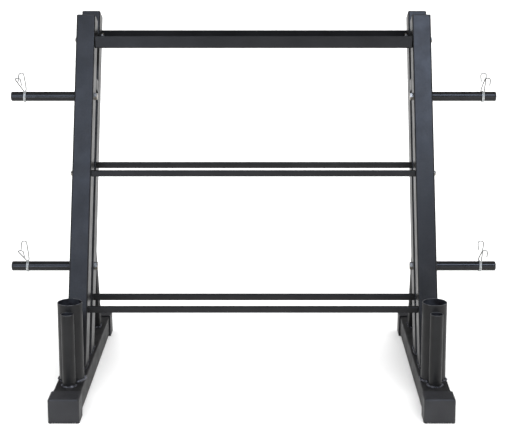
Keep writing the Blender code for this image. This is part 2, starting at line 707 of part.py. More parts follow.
def rail(level, z, row_tag, row):
    """Square tube with a bored plate welded in each end."""
    name = f"{level}_{row_tag}_rail"
    mesh = skin_mesh(name, rounded_outline(RAIL_SIZE, RAIL_SIZE, RAIL_CORNER), SPAN)
    y = rail_y(z, row)
    piece = place(name, mesh, COATED_STEEL, (0, y, z), (0, math.pi / 2, 0))
    thicken(piece, RAIL_WALL)
    plate_size = RAIL_SIZE - RAIL_WALL
    for side in SIDES.values():
        hole = round_outline(RAIL_BOLT_DIAMETER + 2 * BOLT_CLEARANCE, BOLT_SIDES)
        plate = extruded(f"{name}_plate", [rounded_outline(plate_size, plate_size, RAIL_WALL), hole],
                         RAIL_END_PLATE)
        plate_x = side * (SPAN - RAIL_END_PLATE) / 2
        combine(piece, cutter(plate, (plate_x, y, z), (0, math.pi / 2, 0)), "UNION")
    soften(piece)


def dome_bolt_profile(shank_radius, shank_length, head_diameter, head_height):
    """Button head standing up from local Z 0, with a socket, and a shank below."""
    head = head_diameter / 2
    socket = head * SOCKET_SHARE
    dome = head_height - HEAD_RIM
    profile = [(0, head_height - SOCKET_DEPTH), (socket, head_height - SOCKET_DEPTH)]
    for step in range(DOME_STEPS + 1):
        angle = math.pi / 2 * step / DOME_STEPS
        profile.append((socket + (head - socket) * math.sin(angle), HEAD_RIM + dome * math.cos(angle)))
    profile += [(head, 0), (shank_radius, 0), (shank_radius, -shank_length), (0, -shank_length)]
    return profile


def rail_bolt(tag, side, level, z, row_tag, row):
    """Domed bolt from the outer face, through the upright, into the rail's end plate."""
    length = UPRIGHT_WIDTH + 2 * GAP + RAIL_BOLT_BITE
    profile = dome_bolt_profile(RAIL_BOLT_DIAMETER / 2, length, RAIL_BOLT_HEAD, RAIL_BOLT_HEAD_HEIGHT)
    seat = (side * (OUTER_FACE_X + GAP), rail_y(z, row), z)
    turned(f"{tag}_{level}_{row_tag}_rail_bolt", profile, ZINC_STEEL, seat, along_x(side))


# Top tray and its bolts

def tray():
    """Sheet folded up along all four edges, bolted through its end flanges."""
    front_face = upright_y(TRAY_BOTTOM_Z, 0) - UPRIGHT_RUN / 2
    middle_y = front_face + TRAY_SET_BACK + TRAY_DEPTH / 2
    mesh = box_mesh("top_tray", SPAN, TRAY_DEPTH, TRAY_LIP)
    work = bmesh.new()
    work.from_mesh(mesh)
    top = [face for face in work.faces if face.normal.z > 0.9]
    bmesh.ops.delete(work, geom=top, context="FACES_ONLY")
    folds = [edge for edge in work.edges if len(edge.link_faces) == 2]
    bmesh.ops.bevel(work, geom=folds, offset=TRAY_BEND, segments=2, affect="EDGES", profile=0.5)
    work.to_mesh(mesh)
    work.free()
    piece = place("top_tray", mesh, COATED_STEEL, (0, middle_y, TRAY_BOTTOM_Z + TRAY_LIP / 2))
    shell = piece.modifiers.new("sheet", "SOLIDIFY")
    shell.thickness = TRAY_SHEET
    shell.offset = -1
    shell.use_even_offset = True
    for row in ROWS.values():
        y = upright_y(TRAY_BOLT_Z, row)
        drill(piece, TRAY_BOLT_DIAMETER, y, TRAY_BOLT_Z, SPAN + UPRIGHT_WIDTH)
    soften(piece)


def tray_bolt(tag, side, row_tag, row):
    """Domed bolt from inside the tray, through its end flange and the upright."""
    y = upright_y(TRAY_BOLT_Z, row)
    length = TRAY_SHEET + UPRIGHT_WIDTH + 4 * GAP + TRAY_NUT_HEIGHT + TRAY_BOLT_TAIL
    profile = dome_bolt_profile(TRAY_BOLT_DIAMETER / 2, length, TRAY_BOLT_HEAD, TRAY_BOLT_HEAD_HEIGHT)
    seat = (side * (INNER_FACE_X - 2 * GAP - TRAY_SHEET), y, TRAY_BOLT_Z)
    turned(f"{tag}_{row_tag}_tray_bolt", profile, ZINC_STEEL, seat, along_x(-side))


def tray_nut(tag, side, row_tag, row):
    """Hexagon nut on the upright's outer face."""
    name = f"{tag}_{row_tag}_tray_nut"
    bore = TRAY_BOLT_DIAMETER + 2 * BOLT_CLEARANCE
    seat = (side * (OUTER_FACE_X + GAP), upright_y(TRAY_BOLT_Z, row), TRAY_BOLT_Z)
    piece = place(name, hex_blank(name, TRAY_NUT_FLATS, TRAY_NUT_HEIGHT, bore), ZINC_STEEL, seat,
                  along_x(side))
    trim_corners(piece, TRAY_NUT_FLATS, TRAY_NUT_HEIGHT)
    soften(piece)


for tag, side in SIDES.items():
    foot(tag, side)
    for end in (0, 1):
        foot_cap(tag, side, end)
    for row_tag, row in ROWS.items():
        upright(tag, side, row_tag, row)
        upright_cap(tag, side, row_tag, row)
        tray_bolt(tag, side, row_tag, row)
        tray_nut(tag, side, row_tag, row)
        for level, z in RAIL_LEVELS.items():
            rail_bolt(tag, side, level, z, row_tag, row)
    strut(tag, side)
    spacer(tag, side)
    holder(tag + "_large_bar_holder", side, LARGE_HOLDER_DIAMETER, LARGE_HOLDER_HEIGHT, LARGE_HOLDER_Y)
    holder(tag + "_small_bar_holder", side, SMALL_HOLDER_DIAMETER, SMALL_HOLDER_HEIGHT, SMALL_HOLDER_Y)
    for level, (z, row) in PEGS.items():
        peg(tag, side, level, z, row)
        peg_plug(tag, side, level, z, row)
        peg_bolt(tag, side, level, z, row)
        clip(tag, side, level, z, row)
for level, z in RAIL_LEVELS.items():
    for row_tag, row in ROWS.items():
        rail(level, z, row_tag, row)
tray()
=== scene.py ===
import math

import bmesh
import bpy
from mathutils import Matrix, Vector, noise


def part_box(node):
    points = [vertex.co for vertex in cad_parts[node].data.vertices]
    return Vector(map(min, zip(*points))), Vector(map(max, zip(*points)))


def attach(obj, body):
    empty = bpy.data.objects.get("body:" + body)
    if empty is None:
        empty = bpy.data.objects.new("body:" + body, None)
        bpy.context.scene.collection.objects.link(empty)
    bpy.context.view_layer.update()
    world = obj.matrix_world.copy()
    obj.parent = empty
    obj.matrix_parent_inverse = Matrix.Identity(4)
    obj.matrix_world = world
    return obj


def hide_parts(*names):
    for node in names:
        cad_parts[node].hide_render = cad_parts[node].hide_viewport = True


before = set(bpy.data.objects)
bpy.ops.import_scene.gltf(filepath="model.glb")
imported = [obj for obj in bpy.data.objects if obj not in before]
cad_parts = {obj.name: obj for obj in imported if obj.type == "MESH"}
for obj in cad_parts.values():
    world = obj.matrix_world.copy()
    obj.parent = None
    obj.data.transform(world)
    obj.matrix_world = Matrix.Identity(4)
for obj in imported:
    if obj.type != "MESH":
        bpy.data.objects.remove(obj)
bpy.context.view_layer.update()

RACK = "rack"
SIDES = {"left": -1, "right": 1}
ROWS = ("front", "rear")
LEVELS = ("upper", "lower")
SHELVES = ("middle", "bottom")

# Distances under which points count as one, and as lying in a plane
MERGED = 1e-6
CUT = 1e-7
IN_PLANE = 1e-5

# Sizes that the frame's boxes don't give, in metres
GAP = 0.0003
SLIVER = GAP / 20
LEAN = math.radians(23)
UPRIGHT_DEPTH = 0.060
UPRIGHT_RUN = UPRIGHT_DEPTH / math.cos(LEAN)
TUBE_WALL = 0.002
TUBE_CORNER = 0.004
STRUT_LEAN = math.radians(16)
UP_THE_LEAN = Vector((0, math.sin(LEAN), math.cos(LEAN)))
OUT_OF_THE_LEAN = Vector((0, math.cos(LEAN), -math.sin(LEAN)))

CAP_CORNER = 0.0055
CAP_WALL = 0.0035
CAP_SOLE = 0.004
CAP_MOUTH = 0.0022
CAP_MOUTH_DEPTH = 0.003
GROOVES = 10
GROOVE_WIDTH = 0.003
GROOVE_PITCH = 0.0061
GROOVE_HEIGHT = 0.0032

TOP_CAP_THICKNESS = 0.003
TOP_CAP_EDGE = 0.0029
TOP_CAP_SKIRT = 0.012

HOLDER_WALL = 0.002
HOLDER_LIP = 0.00095

PEG_RADIUS = 0.0127
PEG_WALL = 0.002
PEG_END_PLATE = 0.008
PEG_EDGE = 0.0004
PLUG_RIM = 0.004
PLUG_FLAT = 0.005
PLUG_RISE = 0.003
PLUG_STUB_WALL = 0.002

RAIL_CORNER = 0.002
RAIL_WALL = 0.0015

TRAY_SHEET = 0.0025
TRAY_BEND = 0.003
TRAY_EDGE = 0.0005

BOLT_HOLE = 0.0086
PEG_BOLT_HOLE = 0.0126
RAIL_BOLT_HEAD = (0.0130, 0.0045)
TRAY_BOLT_HEAD = (0.0150, 0.0055)
DOME_FLAT = 0.55
HEAD_RIM = 0.001
SOCKET_FLATS = 0.005
SOCKET_DEPTH = 0.0025
PEG_BOLT_FLATS = 0.0185
PEG_BOLT_HEAD_HEIGHT = 0.0075
PEG_BOLT_SHANK = 0.006
BOLT_SHANK = 0.004
TRAY_NUT_FLATS = 0.013
HEX_CHAMFER = math.radians(30)
HEX_FACE = 0.95

CLIP_WIRE = 0.0028
CLIP_CLEARANCE = 0.0003
CLIP_PITCH = 0.00325
CLIP_TURN_POINTS = 40
CLIP_LEG_TILT = math.radians(53)
CLIP_LEG_LENGTH = 0.066
CLIP_INWARD_LEAN = 0.013
CLIP_OUTWARD_LEAN = {"left": 0.0120, "right": 0.0010}
CLIP_BOW = 0.0016
CLIP_BOW_AT = 0.014
CLIP_HOOK_WIDTH = 0.0146
CLIP_HOOK_STEPS = 10
CLIP_HOOK_RETURN = 0.018
CLIP_HOOK_DROP = math.radians(22)
CLIP_SET_BACK = {"upper": 0.0364, "lower": 0.0424}
CLIP_COIL_REACH = PEG_RADIUS + CLIP_CLEARANCE + 1.3 * CLIP_WIRE
CLIP_END_SHARE = 0.7
EASING_ROUNDS = 2
EASING_CUT = 0.25

WELD_STEP = 0.0005
WELD_RIPPLE = 0.0021
WELD_SIZES = {"small_holder": 0.0044, "large_holder": 0.0038, "upright": 0.0024, "strut": 0.0024}
# Shares of a weld's size that make its radius, and that it wanders up and down
WELD_BODY = 0.66
WELD_RIPPLE_SHARE = 0.12
WELD_DRIFT_SHARE = 0.75
WELD_WANDER_SHARE = 0.25
WELD_DRIFT_SCALE = 130
WELD_WANDER_SCALE = 90
WELD_WANDER_SHIFT = Vector((5, 5, 5))
WELD_END_POINTS = 4
WELD_END_START = 0.4
# The holder and the angles, in degrees, between which each of its beads runs
HOLDER_WELDS = {"small_holder_weld": ("small", -200, 20),
                "large_holder_left_weld": ("large", -222, -118),
                "large_holder_right_weld": ("large", -62, 42)}

# Facets round one turn, and along a corner's arc
ROUND_STEPS = 96
BOLT_STEPS = 48
CORNER_STEPS = 6
EDGE_STEPS = 3
PLUG_STEPS = 10
DOME_STEPS = 8
CLIP_SIDES = 14
WELD_SIDES = 12
RING_STEPS_LEAST = 8

# Edges that turn less than this are shaded smooth
CREASE = math.radians(32)
WELD_CREASE = math.radians(80)
FLAT_FACE_WEIGHT = 100


# Camera: the photograph's viewing angle

CAMERA_PLACE = (0.045, -3.4164, 1.2531)
CAMERA_PITCH = math.radians(11.55)
FOCAL_PIXELS = 1350
FRAME_WIDTH = 507
FRAME_HEIGHT = 435
SENSOR = 36.0
FARTHEST_SEEN = 60
CENTRE_PIXEL = (270.5, 165)


def place_camera():
    """Camera whose lens and shift give the photograph's frame."""
    data = bpy.data.cameras.new("photograph_view")
    data.sensor_width = SENSOR
    data.lens = FOCAL_PIXELS / FRAME_WIDTH * SENSOR
    data.shift_x = (FRAME_WIDTH / 2 - CENTRE_PIXEL[0]) / FRAME_WIDTH
    data.shift_y = (CENTRE_PIXEL[1] - FRAME_HEIGHT / 2) / FRAME_WIDTH
    data.clip_end = FARTHEST_SEEN
    camera = bpy.data.objects.new("photograph_view", data)
    camera.location = CAMERA_PLACE
    camera.rotation_euler = (math.pi / 2 - CAMERA_PITCH, 0, 0)
    bpy.context.scene.collection.objects.link(camera)
    bpy.context.scene.camera = camera


# Surface effects that several finishes share

# A Mix node's own sockets for colours
MIX_COLOURS = (6, 7)
MIX_RESULT = 2
EDGE_RUB_WIDTH = 0.0016
EDGE_SAMPLES = 4


def feed(tree, socket, value):
    """Links a value that comes from a node into a socket, or sets a plain one there."""
    if isinstance(value, bpy.types.NodeSocket):
        tree.links.new(value, socket)
    else:
        socket.default_value = value


def new_group(name, inputs, output):
    """Empty effect with a vector input, number inputs and one output."""
    group = bpy.data.node_groups.new(name, "ShaderNodeTree")
    group.interface.new_socket("Vector", in_out="INPUT", socket_type="NodeSocketVector")
    for label, value in inputs.items():
        socket = group.interface.new_socket(label, in_out="INPUT", socket_type="NodeSocketFloat")
        socket.default_value = value
    group.interface.new_socket(output, in_out="OUTPUT", socket_type="NodeSocketFloat")
    return group, group.nodes.new("NodeGroupInput"), group.nodes.new("NodeGroupOutput")


def noise_node(tree, vector, scale, detail, roughness=0.5):
    """Soft noise through space; detail and roughness say how fine it goes."""
    node = tree.nodes.new("ShaderNodeTexNoise")
    node.inputs["Detail"].default_value = detail
    node.inputs["Roughness"].default_value = roughness
    tree.links.new(vector, node.inputs["Vector"])
    feed(tree, node.inputs["Scale"], scale)
    return node.outputs["Fac"]


def math_node(tree, operation, *values):
    """Result of one operation on sockets and plain values."""
    node = tree.nodes.new("ShaderNodeMath")
    node.operation = operation
    for socket, value in zip(node.inputs, values):
        feed(tree, socket, value)
    return node.outputs[0]


def ramp_node(tree, value, low, high):
    """Spreads a value between two limits over 0 to 1."""
    node = tree.nodes.new("ShaderNodeMapRange")
    node.interpolation_type = "SMOOTHSTEP"
    tree.links.new(value, node.inputs["Value"])
    node.inputs["From Min"].default_value = low
    node.inputs["From Max"].default_value = high
    return node.outputs["Result"]


def orange_peel_group():
    """Soft dimples of a baked powder coat, with a finer grain over them."""
    inputs = {"Dimples": 450.0, "Grain": 1900.0, "Grain Share": 0.3}
    group, ins, outs = new_group("orange_peel", inputs, "Height")
    dimples = noise_node(group, ins.outputs["Vector"], ins.outputs["Dimples"], detail=1.0)
    grain = noise_node(group, ins.outputs["Vector"], ins.outputs["Grain"], detail=2.0, roughness=0.6)
    share = math_node(group, "MULTIPLY", grain, ins.outputs["Grain Share"])
    group.links.new(math_node(group, "ADD", dimples, share), outs.inputs["Height"])
    return group


def cloud_group():
    """Slow change over a surface between two values, as from handling and uneven coating."""
    group, ins, outs = new_group("cloudy_change", {"Scale": 9.0, "Low": 0.0, "High": 1.0}, "Value")
    clouds = noise_node(group, ins.outputs["Vector"], ins.outputs["Scale"], detail=4.0, roughness=0.55)
    spread = ramp_node(group, clouds, low=0.3, high=0.7)
    mix = group.nodes.new("ShaderNodeMix")
    group.links.new(spread, mix.inputs["Factor"])
    group.links.new(ins.outputs["Low"], mix.inputs["A"])
    group.links.new(ins.outputs["High"], mix.inputs["B"])
    group.links.new(mix.outputs["Result"], outs.inputs["Value"])
    return group


def dust_group():
    """Thin dust that settles on faces that look up."""
    group, ins, outs = new_group("settled_dust", {"Amount": 0.1}, "Mask")
    facing = group.nodes.new("ShaderNodeSeparateXYZ")
    geometry = group.nodes.new("ShaderNodeNewGeometry")
    group.links.new(geometry.outputs["Normal"], facing.inputs[0])
    upward = ramp_node(group, facing.outputs["Z"], low=0.3, high=1.0)
    specks = noise_node(group, ins.outputs["Vector"], 60.0, detail=6.0, roughness=0.7)
    patchy = math_node(group, "MULTIPLY", upward, ramp_node(group, specks, low=0.35, high=0.75))
    group.links.new(math_node(group, "MULTIPLY", patchy, ins.outputs["Amount"]), outs.inputs["Mask"])
    return group


def rubbed_edge_group():
    """Edges where handling has polished or thinned the finish."""
    group, ins, outs = new_group("rubbed_edges", {"Amount": 0.3}, "Mask")
    softened = group.nodes.new("ShaderNodeBevel")
    softened.samples = EDGE_SAMPLES
    softened.inputs["Radius"].default_value = EDGE_RUB_WIDTH
    geometry = group.nodes.new("ShaderNodeNewGeometry")
    product = group.nodes.new("ShaderNodeVectorMath")
    product.operation = "DOT_PRODUCT"
    group.links.new(softened.outputs["Normal"], product.inputs[0])
    group.links.new(geometry.outputs["Normal"], product.inputs[1])
    turn = math_node(group, "SUBTRACT", 1.0, product.outputs["Value"])
    edge = ramp_node(group, turn, low=0.01, high=0.22)
    patches = noise_node(group, ins.outputs["Vector"], 70.0, detail=5.0, roughness=0.65)
    worn = math_node(group, "MULTIPLY", edge, ramp_node(group, patches, low=0.42, high=0.62))
    group.links.new(math_node(group, "MULTIPLY", worn, ins.outputs["Amount"]), outs.inputs["Mask"])
    return group


EFFECTS = {"orange_peel": orange_peel_group(), "cloudy_change": cloud_group(),
           "settled_dust": dust_group(), "rubbed_edges": rubbed_edge_group()}


# Finishes

class Finish:
    """A material with its shader, object coordinates and the shared effects."""

    def __init__(self, name, metallic, ior):
        self.material = bpy.data.materials.new(name)
        self.material.use_nodes = True
        self.tree = self.material.node_tree
        self.shader = self.tree.nodes["Principled BSDF"]
        self.shader.inputs["Metallic"].default_value = metallic
        self.shader.inputs["IOR"].default_value = ior
        self.coordinates = self.tree.nodes.new("ShaderNodeTexCoord").outputs["Object"]

    def effect(self, group, **values):
        """Output of a shared effect with its own values here."""
        node = self.tree.nodes.new("ShaderNodeGroup")
        node.node_tree = EFFECTS[group]
        self.tree.links.new(self.coordinates, node.inputs["Vector"])
        for label, value in values.items():
            node.inputs[label.replace("_", " ")].default_value = value
        return node.outputs[0]

    def mix(self, factor, first, second):
        """Colour between two, each a colour or a socket."""
        node = self.tree.nodes.new("ShaderNodeMix")
        node.data_type = "RGBA"
        self.tree.links.new(factor, node.inputs["Factor"])
        for number, colour in zip(MIX_COLOURS, (first, second)):
            feed(self.tree, node.inputs[number], (*colour, 1) if isinstance(colour, tuple) else colour)
        return node.outputs[MIX_RESULT]

    def surface(self, label, socket):
        """Lets a changing value or colour feed the shader."""
        self.tree.links.new(socket, self.shader.inputs[label])

    def bump(self, height, strength, distance):
        """Lets a changing height bend the light on the surface."""
        node = self.tree.nodes.new("ShaderNodeBump")
        node.inputs["Strength"].default_value = strength
        node.inputs["Distance"].default_value = distance
        self.tree.links.new(height, node.inputs["Height"])
        self.surface("Normal", node.outputs["Normal"])


COAT_IOR = 1.38
FLAT_COAT_IOR = 1.24
PLASTIC_IOR = 1.46
COAT_DARK = (0.0075, 0.0075, 0.0080)
COAT_LIGHT = (0.0115, 0.0116, 0.0125)
COAT_RUBBED = (0.050, 0.051, 0.054)
COAT_FLECK = (0.0020, 0.0020, 0.0024)
FLECK_SCALE = 240.0
FLECK_SHARE = 0.35
# Darker copy of the coat's colours: painted shade on the tray and rails
SHELF_SHADED_DARK = (0.0052, 0.0052, 0.0056)
SHELF_SHADED_LIGHT = (0.0080, 0.0081, 0.0088)
# Darker copy of the coat's colours: painted shade on the struts
STRUT_SHADED_DARK = (0.0058, 0.0058, 0.0062)
STRUT_SHADED_LIGHT = (0.0090, 0.0090, 0.0097)
# Darker copy of the coat's colours: painted shade on the bar holders
HOLDER_SHADED_DARK = (0.0050, 0.0051, 0.0054)
HOLDER_SHADED_LIGHT = (0.0078, 0.0079, 0.0085)
BORE_COATED = (0.006, 0.006, 0.008)
# Bluish grey painted reflection inside the bar holders
BORE_PAINTED_REFLECTION = (0.022, 0.025, 0.033)
LIP_COATED = (0.012, 0.0125, 0.014)
# Lighter patches on the bar holders' lips: painted highlight
LIP_PAINTED_HIGHLIGHT = (0.070, 0.073, 0.080)
WELD_COATED = (0.006, 0.006, 0.008)
# Lighter bluish patches on the welds: painted highlights
WELD_PAINTED_GLINT = (0.080, 0.083, 0.099)
DUST = (0.20, 0.20, 0.19)
PLASTIC_DARK = (0.0138, 0.0140, 0.0160)
PLASTIC_LIGHT = (0.0196, 0.0199, 0.0226)
PLASTIC_RUBBED = (0.055, 0.055, 0.056)
ZINC_DULL = (0.36, 0.335, 0.29)
ZINC_BRIGHT = (0.54, 0.50, 0.44)
ZINC_RUBBED = (0.62, 0.60, 0.55)
WIRE_DULL = (0.110, 0.113, 0.110)
WIRE_BRIGHT = (0.200, 0.204, 0.200)
# Brighter copy of the wire's colours for the coil: painted highlight
COIL_DULL = (0.44, 0.46, 0.46)
COIL_BRIGHT = (0.70, 0.72, 0.72)


def finish_of(name, colours, clouds, gloss, peel, bump, ior=1.5, metallic=0.0, flecked=False,
              rubbed=None, dust=0.0):
    """Material whose colour, gloss and bump all change over the surface.

    The colour clouds between two at one scale, then takes flecks, rubbed edges and dust. gloss is
    its patches' scale and the roughness at each end, peel the dimples' and the grain's scale and
    the grain's share, bump the strength and the depth, rubbed the amount and the colour.
    """
    finish = Finish(name, metallic, ior)
    colour = finish.mix(finish.effect("cloudy_change", Scale=clouds), *colours)
    if flecked:
        flecks = finish.effect("cloudy_change", Scale=FLECK_SCALE, High=FLECK_SHARE)
        colour = finish.mix(flecks, colour, COAT_FLECK)
    if rubbed:
        colour = finish.mix(finish.effect("rubbed_edges", Amount=rubbed[0]), colour, rubbed[1])
    if dust:
        colour = finish.mix(finish.effect("settled_dust", Amount=dust), colour, DUST)
    finish.surface("Base Color", colour)
    scale, shiny, dull = gloss
    finish.surface("Roughness", finish.effect("cloudy_change", Scale=scale, Low=shiny, High=dull))
    dimples, grain, share = peel
    finish.bump(finish.effect("orange_peel", Dimples=dimples, Grain=grain, Grain_Share=share), *bump)
    return finish.material


# Charcoal powder coat of the uprights: satin, flecked, faintly rubbed along its edges
COATED_STEEL = finish_of("coated_steel_finish", (COAT_DARK, COAT_LIGHT), clouds=14.0,
                         gloss=(23.0, 0.30, 0.38), peel=(300.0, 1500.0, 0.35), bump=(0.45, 0.00024),
                         ior=COAT_IOR, flecked=True, rubbed=(0.35, COAT_RUBBED), dust=0.010)
# The same coat on the tray and rails, its colour darker as painted shade
SHELF_SHADED_COAT = finish_of("shelf_painted_shade_finish", (SHELF_SHADED_DARK, SHELF_SHADED_LIGHT), clouds=11.0,
                       gloss=(19.0, 0.34, 0.43), peel=(360.0, 1600.0, 0.40), bump=(0.40, 0.00022),
                       ior=COAT_IOR, rubbed=(0.45, COAT_RUBBED), dust=0.012)
# The same coat on the pegs, polished a little by the plates
PEG_COAT = finish_of("peg_coat_finish", (COAT_DARK, COAT_LIGHT), clouds=30.0,
                     gloss=(45.0, 0.15, 0.23), peel=(420.0, 1700.0, 0.35), bump=(0.30, 0.00014),
                     ior=COAT_IOR, rubbed=(0.60, COAT_RUBBED))
# Coarser, duller coat of the feet, with some dust
WELDED_BASE = finish_of("welded_base_finish", (COAT_DARK, COAT_LIGHT), clouds=12.0,
                        gloss=(19.0, 0.46, 0.55), peel=(380.0, 1500.0, 0.45), bump=(0.40, 0.00020),
                        ior=COAT_IOR, rubbed=(0.35, COAT_RUBBED), dust=0.070)
# Flat coat of the struts, its colour darker as painted shade
STRUT_SHADED_COAT = finish_of("strut_painted_shade_finish", (STRUT_SHADED_DARK, STRUT_SHADED_LIGHT), clouds=14.0,
                       gloss=(22.0, 0.52, 0.64), peel=(420.0, 1600.0, 0.50), bump=(0.40, 0.00020),
                       ior=FLAT_COAT_IOR, rubbed=(0.30, COAT_RUBBED), dust=0.020)
# Coat of the bar holders, its colour darker as painted shade, rubbed along their edges by bars
HOLDER_SHADED_COAT = finish_of("holder_painted_shade_finish", (HOLDER_SHADED_DARK, HOLDER_SHADED_LIGHT), clouds=16.0,
                        gloss=(25.0, 0.38, 0.46), peel=(380.0, 1500.0, 0.45), bump=(0.40, 0.00020),
                        ior=COAT_IOR, rubbed=(0.80, COAT_RUBBED))
# Inside of a bar holder, bluish grey in patches as a painted reflection
HOLDER_BORE_REFLECTION = finish_of("holder_bore_painted_reflection", (BORE_COATED, BORE_PAINTED_REFLECTION), clouds=40.0,
                        gloss=(55.0, 0.32, 0.50), peel=(300.0, 1300.0, 0.60), bump=(0.40, 0.00020),
                        ior=COAT_IOR)
# Lip of a bar holder, lighter in patches as a painted highlight
HOLDER_LIP_HIGHLIGHT = finish_of("holder_lip_painted_highlight", (LIP_COATED, LIP_PAINTED_HIGHLIGHT), clouds=75.0,
                             gloss=(120.0, 0.27, 0.41), peel=(520.0, 1900.0, 0.50),
                             bump=(0.35, 0.00014), ior=COAT_IOR)
# Coat over a weld bead: glossier, with lighter bluish patches as painted highlights
WELD_METAL = finish_of("coated_weld_finish", (WELD_COATED, WELD_PAINTED_GLINT), clouds=105.0,
                       gloss=(210.0, 0.12, 0.30), peel=(330.0, 1200.0, 0.40), bump=(0.60, 0.00060))
# Black moulded plastic with a fine spark grain
MOULDED_PLASTIC = finish_of("moulded_plastic_finish", (PLASTIC_DARK, PLASTIC_LIGHT), clouds=18.0,
                            gloss=(30.0, 0.42, 0.54), peel=(1300.0, 2600.0, 0.60),
                            bump=(0.45, 0.00022), ior=PLASTIC_IOR, rubbed=(0.60, PLASTIC_RUBBED),
                            dust=0.020)
# Smoother plastic of the peg plugs
PLUG_PLASTIC = finish_of("plug_plastic_finish", (PLASTIC_DARK, PLASTIC_LIGHT), clouds=60.0,
                         gloss=(80.0, 0.30, 0.42), peel=(900.0, 2400.0, 0.40), bump=(0.25, 0.00012),
                         ior=PLASTIC_IOR, rubbed=(0.40, PLASTIC_RUBBED))
# Bright zinc of bolts and nuts, clouded by its passivation
ZINC_PLATE = finish_of("zinc_plate_finish", (ZINC_DULL, ZINC_BRIGHT), clouds=190.0,
                       gloss=(260.0, 0.28, 0.40), peel=(1500.0, 3600.0, 0.50), bump=(0.20, 0.00010),
                       metallic=1.0, rubbed=(0.50, ZINC_RUBBED))
# Drawn wire whose zinc has gone grey in patches
SPRING_WIRE = finish_of("spring_wire_finish", (WIRE_DULL, WIRE_BRIGHT), clouds=140.0,
                        gloss=(220.0, 0.34, 0.46), peel=(1800.0, 4200.0, 0.50),
                        bump=(0.15, 0.00008), metallic=0.35)
# The same wire where it is wound, made brighter as a painted highlight
COIL_PAINTED_HIGHLIGHT = finish_of("coil_painted_highlight_finish", (COIL_DULL, COIL_BRIGHT), clouds=160.0,
                        gloss=(240.0, 0.28, 0.40), peel=(1800.0, 4200.0, 0.50),
                        bump=(0.15, 0.00008), metallic=0.65)


# Building blocks

def add_box(work, size, centre=(0, 0, 0)):
    """Adds a sharp box about a centre."""
    shape = Matrix.Translation(centre) @ Matrix.Diagonal((*size, 1))
    bmesh.ops.create_cube(work, size=1, matrix=shape)


def round_edges(work, edges, offset, steps=CORNER_STEPS):
    """Turns sharp edges into arcs."""
    bmesh.ops.bevel(work, geom=edges, offset=offset, segments=steps, affect="EDGES", profile=0.5,
                    material=-1)


def block(width, depth, length, corner):
    """Closed bar along local Z about its middle, its four long edges rounded."""
    work = bmesh.new()
    add_box(work, (width, depth, length))
    long_edges = [edge for edge in work.edges
                  if abs(edge.verts[0].co.z - edge.verts[1].co.z) > length / 2]
    round_edges(work, long_edges, corner)
    return work


def skin(width, depth, length, corner):
    """Open bar along local Z: a block without its two ends."""
    work = block(width, depth, length, corner)
    ends = [face for face in work.faces if abs(face.normal.z) > 0.5]
    bmesh.ops.delete(work, geom=ends, context="FACES_ONLY")
    return work


def join(work, other):
    """Adds another body's faces to this one, and frees the other."""
    mesh = bpy.data.meshes.new("joined")
    other.to_mesh(mesh)
    other.free()
    work.from_mesh(mesh)
    bpy.data.meshes.remove(mesh)


def end_tube(work, point, normal):
    """Cuts a tube's two skins at a plane and closes the wall between them there."""
    point, normal = Vector(point), Vector(normal)
    everything = work.verts[:] + work.edges[:] + work.faces[:]
    bmesh.ops.bisect_plane(work, geom=everything, dist=CUT, plane_co=point, plane_no=normal,
                           clear_outer=True)
    rim = [edge for edge in work.edges if edge.is_boundary
           and all(abs((vert.co - point).dot(normal)) < IN_PLANE for vert in edge.verts)]
    bmesh.ops.bridge_loops(work, edges=rim)


def tube(width, depth, corner, wall, place, ends):
    """Hollow bar along a frame's local Z, cut and closed at two planes, each a point and a normal."""
    reach = (Vector(ends[0][0]) - Vector(ends[1][0])).length + 4 * max(width, depth)
    work = skin(width, depth, reach, corner)
    lining = skin(width - 2 * wall, depth - 2 * wall, reach, max(corner - wall, wall / 4))
    bmesh.ops.reverse_faces(lining, faces=lining.faces)
    join(work, lining)
    work.transform(place)
    for point, normal in ends:
        end_tube(work, point, normal)
    bmesh.ops.recalc_face_normals(work, faces=work.faces)
    return work


def angles_between(start, stop, steps):
    """Evenly spaced angles in radians, both ends among them, from two given in degrees."""
    return [math.radians(start + (stop - start) * step / steps) for step in range(steps + 1)]


def arc(centre, radii, start, stop, steps=CORNER_STEPS):
    """Points of a turned profile on an ellipse, from one angle to another in degrees."""
    return [(centre[0] + radii[0] * math.cos(angle), centre[1] + radii[1] * math.sin(angle))
            for angle in angles_between(start, stop, steps)]


def turned(profile, place, steps=ROUND_STEPS):
    """Body turned about a frame's local Z from a half section of radius and height."""
    work = bmesh.new()
    spots = [work.verts.new((radius, 0, height)) for radius, height in profile]
    line = [work.edges.new(pair) for pair in zip(spots, spots[1:])]
    bmesh.ops.spin(work, geom=spots + line, cent=(0, 0, 0), axis=(0, 0, 1), dvec=(0, 0, 0),
                   angle=2 * math.pi, steps=steps, use_merge=True)
    bmesh.ops.remove_doubles(work, verts=work.verts, dist=MERGED)
    bmesh.ops.recalc_face_normals(work, faces=work.faces)
    work.transform(place)
    return work


def prism(sides, radius, length, place):
    """Closed regular prism along a frame's local Z about its middle."""
    work = bmesh.new()
    bmesh.ops.create_cone(work, cap_ends=True, segments=sides, radius1=radius, radius2=radius,
                          depth=length)
    work.transform(place)
    return work


def as_object(work, name):
    """Puts a body in the scene under a name, and frees it."""
    mesh = bpy.data.meshes.new(name)
    work.to_mesh(mesh)
    work.free()
    made = bpy.data.objects.new(name, mesh)
    bpy.context.scene.collection.objects.link(made)
    return made


def as_shown(thing):
    """Body of an object as its modifiers or its curve settings show it."""
    bpy.context.view_layer.update()
    shown = thing.evaluated_get(bpy.context.evaluated_depsgraph_get())
    mesh = bpy.data.meshes.new_from_object(shown)
    work = bmesh.new()
    work.from_mesh(mesh)
    bpy.data.meshes.remove(mesh)
    return work


